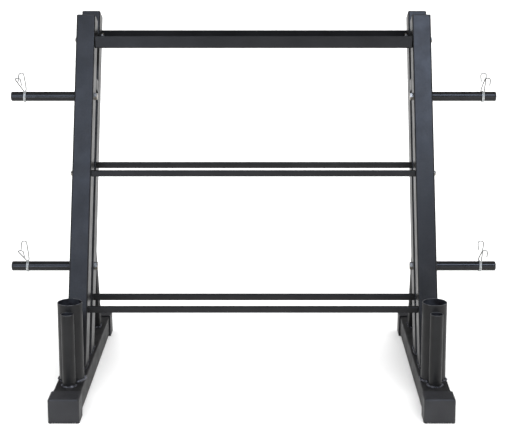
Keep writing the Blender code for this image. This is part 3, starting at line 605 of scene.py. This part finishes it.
def through_modifiers(work, modifiers):
    """Runs a body through modifiers, each a type and its values, and returns the result."""
    bench = as_object(work, "in_work")
    for kind, values in modifiers:
        modifier = bench.modifiers.new(kind, kind)
        for label, value in values.items():
            setattr(modifier, label, value)
    result = as_shown(bench)
    bpy.data.meshes.remove(bench.data)
    return result


def combined(work, tools, operation="DIFFERENCE"):
    """Cuts tool bodies from a body, or joins or intersects them with it."""
    bodies = [as_object(tool, "tool") for tool in tools]
    modifiers = [("BOOLEAN", {"operation": operation, "solver": "EXACT", "object": body})
                 for body in bodies]
    result = through_modifiers(work, modifiers)
    for body in bodies:
        bpy.data.meshes.remove(body.data)
    return result


def finished(node, work, material, body=RACK, replaces=True, crease=CREASE):
    """Makes a body a piece of the rack, in its finish, in place of its plainer node."""
    piece = as_object(work, node + "_finished" if replaces else node)
    piece.data.materials.append(material)
    piece.data.shade_smooth()
    piece.data.set_sharp_from_angle(angle=crease)
    weighted = piece.modifiers.new("flat_faces_stay_flat", "WEIGHTED_NORMAL")
    weighted.keep_sharp = True
    weighted.weight = FLAT_FACE_WEIGHT
    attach(piece, body)
    if replaces:
        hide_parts(node)
    return piece


def middle(node):
    """Centre of a node's box."""
    low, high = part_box(node)
    return (low + high) / 2


def width_of(node):
    """Length of a node's box along X."""
    low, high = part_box(node)
    return high.x - low.x


def end_spot(node, side):
    """Middle of a node's box at one end along X, side -1 or 1."""
    low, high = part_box(node)
    centre = middle(node)
    return (high.x if side > 0 else low.x, centre.y, centre.z)


def leaning(centre, lean=LEAN):
    """Frame through a point whose local Z runs up a lean towards the back."""
    return Matrix.Translation(centre) @ Matrix.Rotation(-lean, 4, "X")


def sideways(spot, outward):
    """Frame at a point whose local Z looks along X, outward 1 or -1."""
    return Matrix.Translation(spot) @ Matrix.Rotation(outward * math.pi / 2, 4, "Y")


# Feet and their caps

def foot_tube(tag):
    """Rectangular tube laid from front to back."""
    node = tag + "_foot_tube"
    low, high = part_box(node)
    size = high - low
    centre = middle(node)
    place = Matrix.Translation(centre) @ Matrix.Rotation(math.pi / 2, 4, "X")
    ends = [((centre.x, low.y, centre.z), (0, -1, 0)), ((centre.x, high.y, centre.z), (0, 1, 0))]
    finished(node, tube(size.x, size.z, TUBE_CORNER, TUBE_WALL, place, ends), WELDED_BASE)


def foot_cap(tag, row):
    """Sleeve with rounded outer edges, a lead-in at its mouth and a grooved sole."""
    node = f"{tag}_{row}_foot_cap"
    low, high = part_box(node)
    size = high - low
    work = bmesh.new()
    add_box(work, size, (0, 0, size.z / 2))
    round_edges(work, [edge for edge in work.edges if cap_edge_is_round(edge, size)], CAP_CORNER)
    room_size = Vector((size.x - 2 * CAP_WALL, size.z - CAP_SOLE - CAP_WALL))
    room_z = CAP_SOLE + room_size.y / 2
    facing = Matrix.Rotation(-math.pi / 2, 4, "X")
    room = block(*room_size, size.y, TUBE_CORNER)
    room.transform(Matrix.Translation((0, CAP_WALL, room_z)) @ facing)
    # The mouth's body is centred on the mouth's plane, so there it flares by half of its growth
    mouth = block(*room_size, 2 * CAP_MOUTH_DEPTH, TUBE_CORNER)
    for vert in mouth.verts:
        grown = 4 * CAP_MOUTH if vert.co.z > 0 else -4 * GAP
        vert.co.x *= 1 + grown / room_size.x
        vert.co.y *= 1 + (grown if vert.co.y < 0 else -4 * GAP) / room_size.y
    mouth.transform(Matrix.Translation((0, size.y / 2, room_z)) @ facing)
    grooves = bmesh.new()
    for number in range(GROOVES):
        across = (number - (GROOVES - 1) / 2) * GROOVE_PITCH
        add_box(grooves, (GROOVE_WIDTH, size.y * 1.2, GROOVE_HEIGHT * 2), (across, 0, 0))
    work = combined(work, [room, mouth, grooves])
    turn = Matrix.Rotation(math.pi if row == "rear" else 0, 4, "Z")
    work.transform(Matrix.Translation((middle(node).x, middle(node).y, low.z)) @ turn)
    finished(node, work, MOULDED_PLASTIC)


def cap_edge_is_round(edge, size):
    """True for a cap's upright outer edges and the edges of its top; its mouth looks along +Y."""
    ends = [vert.co for vert in edge.verts]
    on_floor = all(co.z < size.z / 2 for co in ends)
    on_top = all(co.z > size.z / 2 for co in ends)
    at_mouth = all(co.y > 0 for co in ends)
    outer = all(co.y < 0 for co in ends)
    return (outer or on_top) and not on_floor and not at_mouth


# Uprights, their caps, struts and spacers

def upright_ends(tag, row):
    """Points where an upright's centreline meets the foot and the underside of its cap."""
    low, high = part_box(f"{tag}_{row}_upright")
    foot = Vector(((low.x + high.x) / 2, low.y + UPRIGHT_RUN / 2, low.z))
    crown_z = high.z - UPRIGHT_DEPTH / 2 * math.sin(LEAN)
    return foot, foot + UP_THE_LEAN * (crown_z - foot.z) / math.cos(LEAN)


def upright(tag, row):
    """Leaning tube, mitred level on the foot and square at its top, with its bolt holes."""
    node = f"{tag}_{row}_upright"
    foot, crown = upright_ends(tag, row)
    ends = [(foot, (0, 0, -1)), (crown, UP_THE_LEAN)]
    width = width_of(node)
    work = tube(width, UPRIGHT_DEPTH, TUBE_CORNER, TUBE_WALL, leaning((foot + crown) / 2), ends)
    peg_level = "upper" if row == "front" else "lower"
    holes = [(middle(f"{tag}_{peg_level}_peg_bolt"), PEG_BOLT_HOLE),
             (middle(f"{tag}_{row}_tray_bolt"), BOLT_HOLE)]
    holes += [(middle(f"{tag}_{shelf}_{row}_rail_bolt"), BOLT_HOLE) for shelf in SHELVES]
    drills = [prism(BOLT_STEPS, hole / 2, width * 2, sideways((foot.x, spot.y, spot.z), 1))
              for spot, hole in holes]
    finished(node, combined(work, drills), COATED_STEEL)


def upright_cap(tag, row):
    """Softly rounded plate over the tube's end, with a hollow skirt inside it."""
    node = f"{tag}_{row}_upright_cap"
    crown = upright_ends(tag, row)[1]
    seat = crown + UP_THE_LEAN * GAP
    width = width_of(node)
    plate = block(width, UPRIGHT_DEPTH, TOP_CAP_THICKNESS, TUBE_CORNER)
    rim = [edge for edge in plate.edges if all(vert.co.z > 0 for vert in edge.verts)]
    round_edges(plate, rim, TOP_CAP_EDGE)
    plate.transform(leaning(seat + UP_THE_LEAN * TOP_CAP_THICKNESS / 2))
    inset = 2 * (TUBE_WALL + GAP)
    skirt_ends = [(seat - UP_THE_LEAN * TOP_CAP_SKIRT, -UP_THE_LEAN),
                  (seat + UP_THE_LEAN * TOP_CAP_THICKNESS / 2, UP_THE_LEAN)]
    skirt = tube(width - inset, UPRIGHT_DEPTH - inset, TUBE_CORNER - TUBE_WALL, TUBE_WALL,
                 leaning(seat), skirt_ends)
    finished(node, combined(plate, [skirt], "UNION"), MOULDED_PLASTIC)


def strut_ends(tag):
    """Points where a strut's centreline meets the foot and the rear upright's back face."""
    node = tag + "_rear_strut"
    low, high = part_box(node)
    size = high.x - low.x
    heel = Vector(((low.x + high.x) / 2, high.y - size / 2 / math.cos(STRUT_LEAN), low.z))
    axis = Vector((0, -math.sin(STRUT_LEAN), math.cos(STRUT_LEAN)))
    face = upright_ends(tag, "rear")[0] + OUT_OF_THE_LEAN * (UPRIGHT_DEPTH / 2 + GAP)
    reach = (face - heel).dot(OUT_OF_THE_LEAN) / axis.dot(OUT_OF_THE_LEAN)
    return heel, heel + axis * reach, size


def strut(tag):
    """Square tube from the back of the foot, mitred against the rear upright."""
    heel, meeting, size = strut_ends(tag)
    ends = [(heel, (0, 0, -1)), (meeting, -OUT_OF_THE_LEAN)]
    work = tube(size, size, TUBE_CORNER, TUBE_WALL, leaning((heel + meeting) / 2, -STRUT_LEAN), ends)
    finished(tag + "_rear_strut", work, STRUT_SHADED_COAT)


def spacer(tag):
    """Tube offcut in the slot between a side's two uprights."""
    node = tag + "_upright_spacer"
    low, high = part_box(node)
    size = high - low
    depth = (size.y * math.cos(LEAN) - size.z * math.sin(LEAN)) / math.cos(2 * LEAN)
    length = (size.z * math.cos(LEAN) - size.y * math.sin(LEAN)) / math.cos(2 * LEAN)
    centre = middle(node)
    ends = [(centre - UP_THE_LEAN * length / 2, -UP_THE_LEAN),
            (centre + UP_THE_LEAN * length / 2, UP_THE_LEAN)]
    work = tube(size.x, depth, TUBE_CORNER, TUBE_WALL, leaning(centre), ends)
    finished(node, work, COATED_STEEL)


# Bar holders

def holder(node):
    """Open tube with softened lips, a painted highlight on the lip and a patchy painted reflection
    inside.
    """
    low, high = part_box(node)
    outer = width_of(node) / 2
    inner = outer - HOLDER_WALL
    height = high.z - low.z
    lip = HOLDER_LIP
    profile = [(outer, 0)] + arc((outer - lip, height - lip), (lip, lip), 0, 90)
    profile += arc((inner + lip, height - lip), (lip, lip), 90, 180) + [(inner, 0), (outer, 0)]
    axis = Vector((middle(node).x, middle(node).y, low.z))
    work = turned(profile, Matrix.Translation(axis))
    for face in work.faces:
        centre = face.calc_center_median() - axis
        inside = face.normal.dot(Vector((centre.x, centre.y, 0))) < -inner / 2
        # The lip's faces take the painted highlight, the inner faces the painted reflection
        face.material_index = 2 if centre.z > height - lip else int(inside)
    piece = finished(node, work, HOLDER_SHADED_COAT)
    piece.data.materials.append(HOLDER_BORE_REFLECTION)
    piece.data.materials.append(HOLDER_LIP_HIGHLIGHT)


# Pegs, plugs and fasteners

def peg(tag, side, level):
    """Tube with an end plate against the upright, bored for its bolt."""
    node = f"{tag}_{level}_peg"
    length = width_of(node)
    bore = PEG_RADIUS - PEG_WALL
    hole = PEG_BOLT_HOLE / 2
    edge = PEG_EDGE
    profile = [(bore, length)] + arc((PEG_RADIUS - edge, length - edge), (edge, edge), 90, 0, EDGE_STEPS)
    profile += arc((PEG_RADIUS - edge, edge), (edge, edge), 0, -90, EDGE_STEPS)
    profile += [(hole, 0), (hole, PEG_END_PLATE), (bore, PEG_END_PLATE), (bore, length)]
    finished(node, turned(profile, sideways(end_spot(node, -side), side)), PEG_COAT)


def peg_plug(tag, side, level):
    """Domed plug with a hollow stub inside the peg."""
    node = f"{tag}_{level}_peg_plug"
    stub = PEG_RADIUS - PEG_WALL - GAP
    hollow = stub - PLUG_STUB_WALL
    length = width_of(node)
    profile = [(0, 0)] + arc((PEG_RADIUS - PLUG_FLAT, -PLUG_RISE), (PLUG_FLAT, PLUG_RISE), 90, 0,
                             PLUG_STEPS)
    profile += [(PEG_RADIUS, -PLUG_RIM), (stub, -PLUG_RIM), (stub, -length), (hollow, -length),
                (hollow, -PLUG_RIM), (0, -PLUG_RIM)]
    finished(node, turned(profile, sideways(end_spot(node, side), side)), PLUG_PLASTIC)


def hexagon(flats, height, place):
    """Hexagon on a frame's local Z from 0 up, its outer corners turned down."""
    blank = prism(6, flats / math.sqrt(3), height, Matrix.Translation((0, 0, height / 2)))
    inside = flats / 2 * HEX_FACE
    slope_foot = height - (flats - inside) * math.tan(HEX_CHAMFER)
    profile = [(0, height), (inside, height), (flats, slope_foot), (flats, -height), (0, -height)]
    shaped = combined(blank, [turned(profile, Matrix.Identity(4))], "INTERSECT")
    shaped.transform(place)
    return shaped


def peg_bolt(tag, side, level):
    """Hexagon bolt whose head lies on the upright's inner face."""
    node = f"{tag}_{level}_peg_bolt"
    low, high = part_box(node)
    inner_x, outer_x = (low.x, high.x) if side > 0 else (high.x, low.x)
    centre = middle(node)
    seat_x = inner_x + side * PEG_BOLT_HEAD_HEIGHT
    head = hexagon(PEG_BOLT_FLATS, PEG_BOLT_HEAD_HEIGHT, sideways((seat_x, centre.y, centre.z), -side))
    start_x = inner_x + side * PEG_BOLT_HEAD_HEIGHT / 2
    shank = prism(BOLT_STEPS, PEG_BOLT_SHANK, abs(outer_x - start_x),
                  sideways(((start_x + outer_x) / 2, centre.y, centre.z), 1))
    work = combined(head, [shank], "UNION")
    bmesh.ops.remove_doubles(work, verts=work.verts, dist=SLIVER)
    finished(node, work, ZINC_PLATE)


def dome_bolt(node, outward, head_size):
    """Button-head bolt with a hexagon socket; outward is the way its head looks along X."""
    low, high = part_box(node)
    head, rise = head_size[0] / 2, head_size[1]
    reach = high.x - low.x - rise
    flat = head * DOME_FLAT
    profile = [(0, rise)] + arc((flat, HEAD_RIM), (head - flat, rise - HEAD_RIM), 90, 0, DOME_STEPS)
    profile += [(head, 0), (BOLT_SHANK, 0), (BOLT_SHANK, -reach), (0, -reach)]
    centre = middle(node)
    seat_x = high.x - rise if outward > 0 else low.x + rise
    place = sideways((seat_x, centre.y, centre.z), outward)
    socket = prism(6, SOCKET_FLATS / math.sqrt(3), SOCKET_DEPTH * 2,
                   place @ Matrix.Translation((0, 0, rise)))
    work = combined(turned(profile, place, BOLT_STEPS), [socket])
    finished(node, work, ZINC_PLATE)


def tray_nut(tag, side, row):
    """Hexagon nut on the upright's outer face."""
    node = f"{tag}_{row}_tray_nut"
    height = width_of(node)
    place = sideways(end_spot(node, -side), side)
    bore = prism(BOLT_STEPS, BOLT_HOLE / 2, height * 4, place)
    finished(node, combined(hexagon(TRAY_NUT_FLATS, height, place), [bore]), ZINC_PLATE)


# Rails and tray

def rail(shelf, row):
    """Thin square tube between the two side frames."""
    node = f"{shelf}_{row}_rail"
    low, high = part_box(node)
    size = high.z - low.z
    ends = [(end_spot(node, way), (way, 0, 0)) for way in SIDES.values()]
    work = tube(size, size, RAIL_CORNER, RAIL_WALL, sideways(middle(node), 1), ends)
    finished(node, work, SHELF_SHADED_COAT)


def tray():
    """Sheet folded up along all four edges, with softened cut edges and holes for its bolts."""
    low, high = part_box("top_tray")
    size = high - low
    work = bmesh.new()
    add_box(work, size, middle("top_tray"))
    lid = [face for face in work.faces if face.normal.z > 0.5]
    bmesh.ops.delete(work, geom=lid, context="FACES_ONLY")
    folds = [edge for edge in work.edges if len(edge.link_faces) == 2]
    round_edges(work, folds, TRAY_BEND)
    inwards = {"thickness": TRAY_SHEET, "offset": -1, "use_even_offset": True}
    work = through_modifiers(work, [("SOLIDIFY", inwards)])
    cut_edges = [edge for edge in work.edges if edge.calc_face_angle(0) > 1
                 and all(vert.co.z > high.z - IN_PLANE for vert in edge.verts)]
    round_edges(work, cut_edges, TRAY_EDGE, EDGE_STEPS)
    drills = []
    for row in ROWS:
        spot = middle(f"left_{row}_tray_bolt")
        drills.append(prism(BOLT_STEPS, BOLT_HOLE / 2, size.x * 1.1, sideways((0, spot.y, spot.z), 1)))
    finished("top_tray", combined(work, drills), SHELF_SHADED_COAT)


# Spring clips

def clip_route(outward_lean):
    """Centreline of a clip about its coil's axis, local X along the peg with the tip at -X.

    The wire leaves the coil at both ends along its tangents, so the handles cross above the peg.
    """
    radius = PEG_RADIUS + CLIP_CLEARANCE + CLIP_WIRE / 2
    turning = 4 * math.pi - (math.pi - 2 * CLIP_LEG_TILT)
    steps = round(turning / (2 * math.pi) * CLIP_TURN_POINTS)
    half = CLIP_PITCH * turning / (2 * math.pi) / 2
    coil = []
    for step in range(steps + 1):
        share = step / steps
        angle = CLIP_LEG_TILT - turning * share
        coil.append(Vector((half * (2 * share - 1), radius * math.cos(angle), radius * math.sin(angle))))

    def handle(start, way, leans, hook):
        """Leg from an end of the coil to one side of the peg, way -1 or 1, with its hook."""
        rise = Vector((0, way * math.sin(CLIP_LEG_TILT), math.cos(CLIP_LEG_TILT)))
        points = [start + rise * along + Vector((lean, 0, 0)) for along, lean in leans]
        end = points[-1]
        tip_tilt = CLIP_LEG_TILT - CLIP_HOOK_DROP
        back = Vector((0, way * math.sin(tip_tilt), math.cos(tip_tilt)))
        bend = CLIP_HOOK_WIDTH / 2
        for step in range(1, CLIP_HOOK_STEPS + 1):
            turn = math.pi * step / CLIP_HOOK_STEPS
            height = rise * math.sin(turn) if turn <= math.pi / 2 else rise - back * (1 - math.sin(turn))
            points.append(end + bend * (height + Vector((hook * (1 - math.cos(turn)), 0, 0))))
        points.append(points[-1] - back * CLIP_HOOK_RETURN)
        return points

    inward_leans = [(CLIP_BOW_AT, -CLIP_INWARD_LEAN * CLIP_BOW_AT / CLIP_LEG_LENGTH),
                    (CLIP_LEG_LENGTH, -CLIP_INWARD_LEAN)]
    outward_leans = [(CLIP_BOW_AT, CLIP_BOW), (CLIP_LEG_LENGTH, -outward_lean)]
    front = handle(coil[0], -1, inward_leans, 1)
    back = handle(coil[-1], 1, outward_leans, -1)
    return front[::-1] + coil + back


def eased(points):
    """Cuts the corners of a route, so that a bent wire has no sharp turn."""
    for _ in range(EASING_ROUNDS):
        cut = [points[0]]
        for start, end in zip(points, points[1:]):
            cut += [start.lerp(end, EASING_CUT), start.lerp(end, 1 - EASING_CUT)]
        points = cut + [points[-1]]
    return points


def wire(points, radii, sides, cyclic=False):
    """Round wire along a route, with a radius at each point, as a closed body."""
    curve = bpy.data.curves.new("wire", "CURVE")
    curve.dimensions = "3D"
    curve.bevel_depth = 1
    curve.bevel_resolution = (sides - 4) // 2
    curve.use_fill_caps = not cyclic
    spline = curve.splines.new("POLY")
    spline.points.add(len(points) - 1)
    for point, spot, radius in zip(spline.points, points, radii):
        point.co = (*spot, 1)
        point.radius = radius
    spline.use_cyclic_u = cyclic
    drawn = bpy.data.objects.new("wire", curve)
    bpy.context.scene.collection.objects.link(drawn)
    work = as_shown(drawn)
    bmesh.ops.remove_doubles(work, verts=work.verts, dist=MERGED)
    bmesh.ops.recalc_face_normals(work, faces=work.faces)
    bpy.data.curves.remove(curve)
    return work


def clip(tag, side, level):
    """One wire: a coil round the peg, brighter as a painted highlight, crossing handles and open hooks.
    """
    node = f"{tag}_{level}_clip"
    route = eased(clip_route(CLIP_OUTWARD_LEAN[tag]))
    radii = [CLIP_WIRE / 2] * len(route)
    radii[0] = radii[-1] = CLIP_WIRE / 2 * CLIP_END_SHARE
    work = wire(route, radii, CLIP_SIDES)
    for face in work.faces:
        centre = face.calc_center_median()
        # The coil's faces take the wire's brighter copy, a painted highlight
        face.material_index = int(math.hypot(centre.y, centre.z) < CLIP_COIL_REACH)
    tip_x = end_spot(f"{tag}_{level}_peg_plug", side)[0]
    centre = middle(f"{tag}_{level}_peg")
    place = Matrix.Translation((tip_x - side * CLIP_SET_BACK[level], centre.y, centre.z))
    work.transform(place @ Matrix.Rotation(math.pi if side > 0 else 0, 4, "Z"))
    piece = finished(node, work, SPRING_WIRE, body=node)
    piece.data.materials.append(COIL_PAINTED_HIGHLIGHT)


# Weld beads

def ring_route(radius, start, stop):
    """Points along an arc on the floor plane, angles in degrees."""
    steps = max(RING_STEPS_LEAST, round(math.radians(stop - start) * radius / WELD_STEP))
    return [Vector((radius * math.cos(angle), radius * math.sin(angle), 0))
            for angle in angles_between(start, stop, steps)]


def box_route(width, depth, corner):
    """Points round a rectangle with arc corners, evenly spaced."""
    route = []
    for quarter, (sx, sy) in enumerate(((1, 1), (-1, 1), (-1, -1), (1, -1))):
        centre = Vector((sx * (width / 2 - corner), sy * (depth / 2 - corner), 0))
        route += [centre + point for point in ring_route(corner, quarter * 90, quarter * 90 + 90)]
    even = []
    for start, end in zip(route, route[1:] + route[:1]):
        count = max(1, round((end - start).length / WELD_STEP))
        even += [start.lerp(end, number / count) for number in range(count)]
    return even


def weld(name, route, place, size, cyclic):
    """Rippled bead along a joint, uneven as a hand-laid one is."""
    radii, spots = [], []
    for number, spot in enumerate(route):
        along = number * WELD_STEP
        placed = place @ spot
        drift = noise.noise(placed * WELD_DRIFT_SCALE)
        ripple = abs(math.sin(math.pi * along / WELD_RIPPLE))
        radii.append(size * (WELD_BODY + WELD_RIPPLE_SHARE * ripple + WELD_DRIFT_SHARE * drift))
        wander = noise.noise(placed * WELD_WANDER_SCALE + WELD_WANDER_SHIFT)
        spots.append(placed + Vector((0, 0, size * WELD_WANDER_SHARE * wander)))
    if not cyclic:
        for number in range(WELD_END_POINTS):
            share = math.sqrt((number + WELD_END_START) / WELD_END_POINTS)
            radii[number] *= share
            radii[-1 - number] *= share
    work = wire(spots, radii, WELD_SIDES, cyclic)
    finished(name, work, WELD_METAL, replaces=False, crease=WELD_CREASE)


def welds(tag):
    """Beads round the feet of the uprights, strut and bar holders, and behind the rear upright."""
    size = WELD_SIZES["upright"]
    width = width_of(tag + "_front_upright")
    for row in ROWS:
        foot = upright_ends(tag, row)[0]
        route = box_route(width + size / 2, UPRIGHT_RUN + size / 2, TUBE_CORNER)
        weld(f"{tag}_{row}_upright_weld", route, Matrix.Translation(foot), size, True)
    heel, meeting, strut_size = strut_ends(tag)
    size = WELD_SIZES["strut"]
    route = box_route(strut_size + size / 2, strut_size / math.cos(STRUT_LEAN) + size / 2, TUBE_CORNER)
    weld(tag + "_strut_heel_weld", route, Matrix.Translation(heel), size, True)
    slope = strut_size / math.sin(LEAN + STRUT_LEAN)
    route = box_route(strut_size + size / 2, slope + size / 2, TUBE_CORNER)
    facing = leaning(meeting) @ Matrix.Rotation(math.pi / 2, 4, "X")
    weld(tag + "_strut_head_weld", route, facing, size, True)
    for name, (holder_size, start, stop) in HOLDER_WELDS.items():
        node = f"{tag}_{holder_size}_bar_holder"
        size = WELD_SIZES[holder_size + "_holder"]
        radius = width_of(node) / 2 + size / 4
        place = Matrix.Translation((middle(node).x, middle(node).y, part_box(node)[0].z))
        weld(f"{tag}_{name}", ring_route(radius, start, stop), place, size, False)


for tag, side in SIDES.items():
    foot_tube(tag)
    for row in ROWS:
        foot_cap(tag, row)
        upright(tag, row)
        upright_cap(tag, row)
        dome_bolt(f"{tag}_{row}_tray_bolt", -side, TRAY_BOLT_HEAD)
        tray_nut(tag, side, row)
        for shelf in SHELVES:
            dome_bolt(f"{tag}_{shelf}_{row}_rail_bolt", side, RAIL_BOLT_HEAD)
    strut(tag)
    spacer(tag)
    for size in ("large", "small"):
        holder(f"{tag}_{size}_bar_holder")
    for level in LEVELS:
        peg(tag, side, level)
        peg_plug(tag, side, level)
        peg_bolt(tag, side, level)
        clip(tag, side, level)
    welds(tag)
for shelf in SHELVES:
    for row in ROWS:
        rail(shelf, row)
tray()


# Studio

FLOOR_SEEN = (0.86, 0.86, 0.86)
FLOOR_MIRRORED = (0.60, 0.60, 0.60)
FLOOR_REACH = 30
FLOOR_DROP = 0.0005
FLOOR_ROUGHNESS = 0.9
SURROUNDINGS_MIRRORED = 0.15
SURROUNDINGS_FILL = 0.40
WHITE = (1, 1, 1, 1)
DAYLIGHT = (0.62, 0.74, 1.0)


def pale_floor():
    """Plain pale floor, darker in what the rack mirrors, as paper beyond a small set is."""
    work = bmesh.new()
    bmesh.ops.create_grid(work, x_segments=1, y_segments=1, size=FLOOR_REACH)
    floor = as_object(work, "studio_floor")
    floor.location = (0, 0, -FLOOR_DROP)
    material = bpy.data.materials.new("pale_floor")
    material.use_nodes = True
    nodes, links = material.node_tree.nodes, material.node_tree.links
    shader = nodes["Principled BSDF"]
    path = nodes.new("ShaderNodeLightPath")
    tone = nodes.new("ShaderNodeMix")
    tone.data_type = "RGBA"
    links.new(path.outputs["Is Glossy Ray"], tone.inputs["Factor"])
    for number, colour in zip(MIX_COLOURS, (FLOOR_SEEN, FLOOR_MIRRORED)):
        tone.inputs[number].default_value = (*colour, 1)
    links.new(tone.outputs[MIX_RESULT], shader.inputs["Base Color"])
    shader.inputs["Roughness"].default_value = FLOOR_ROUGHNESS
    shader.inputs["Specular IOR Level"].default_value = 0.0
    floor.data.materials.append(material)


def soft_light(name, size, place, aim, radiance):
    """Softbox or panel aimed at a point, which shows only in what the rack mirrors."""
    data = bpy.data.lights.new(name, "AREA")
    data.shape = "RECTANGLE"
    data.size, data.size_y = size
    data.energy = radiance * math.pi * size[0] * size[1]
    data.color = DAYLIGHT
    light = bpy.data.objects.new(name, data)
    light.location = place
    light.rotation_euler = (Vector(aim) - Vector(place)).to_track_quat("-Z", "Y").to_euler()
    light.visible_diffuse = False
    bpy.context.scene.collection.objects.link(light)


def wide_glow(name, strength, spread, elevation, swing=0):
    """Wide soft light over the whole floor, from an elevation and swung from the front."""
    data = bpy.data.lights.new(name, "SUN")
    data.energy = strength
    data.angle = math.radians(spread)
    light = bpy.data.objects.new(name, data)
    light.rotation_euler = (math.radians(90 - elevation), 0, math.radians(swing))
    light.visible_glossy = False
    bpy.context.scene.collection.objects.link(light)


def surroundings():
    """Pale to look at, dimmer as fill light, and dimmest in what the rack mirrors."""
    world = bpy.data.worlds.new("studio_surroundings")
    world.use_nodes = True
    nodes, links = world.node_tree.nodes, world.node_tree.links
    seen = nodes["Background"]
    seen.inputs["Color"].default_value = WHITE
    path = nodes.new("ShaderNodeLightPath")
    share = nodes.new("ShaderNodeMix")
    links.new(path.outputs["Is Glossy Ray"], share.inputs["Factor"])
    share.inputs["A"].default_value = SURROUNDINGS_FILL
    share.inputs["B"].default_value = SURROUNDINGS_MIRRORED
    dim = nodes.new("ShaderNodeBackground")
    dim.inputs["Color"].default_value = WHITE
    links.new(share.outputs["Result"], dim.inputs["Strength"])
    mix = nodes.new("ShaderNodeMixShader")
    links.new(path.outputs["Is Camera Ray"], mix.inputs["Fac"])
    links.new(dim.outputs[0], mix.inputs[1])
    links.new(seen.outputs[0], mix.inputs[2])
    links.new(mix.outputs[0], nodes["World Output"].inputs["Surface"])
    bpy.context.scene.world = world


place_camera()
pale_floor()
wide_glow("overhead_glow", 3.7, spread=130, elevation=90)
wide_glow("front_glow", 2.3, spread=50, elevation=26, swing=10)
surroundings()
soft_light("front_softbox_left", (1.4, 1.5), place=(-1.0, -3.0, 2.7), aim=(-0.4, 0, 0.5), radiance=4.6)
soft_light("front_softbox_right", (1.4, 1.2), place=(1.0, -2.6, 3.2), aim=(0.4, 0, 0.7), radiance=9.0)
soft_light("low_panel_left", (0.7, 0.8), place=(-1.25, -3.4, 0.5), aim=(-0.55, 0, 0.5), radiance=7.0)
soft_light("low_panel_right", (0.7, 0.8), place=(1.3, -3.4, 0.5), aim=(0.6, 0, 0.5), radiance=2.5)
bpy.context.scene.view_settings.view_transform = "Standard"
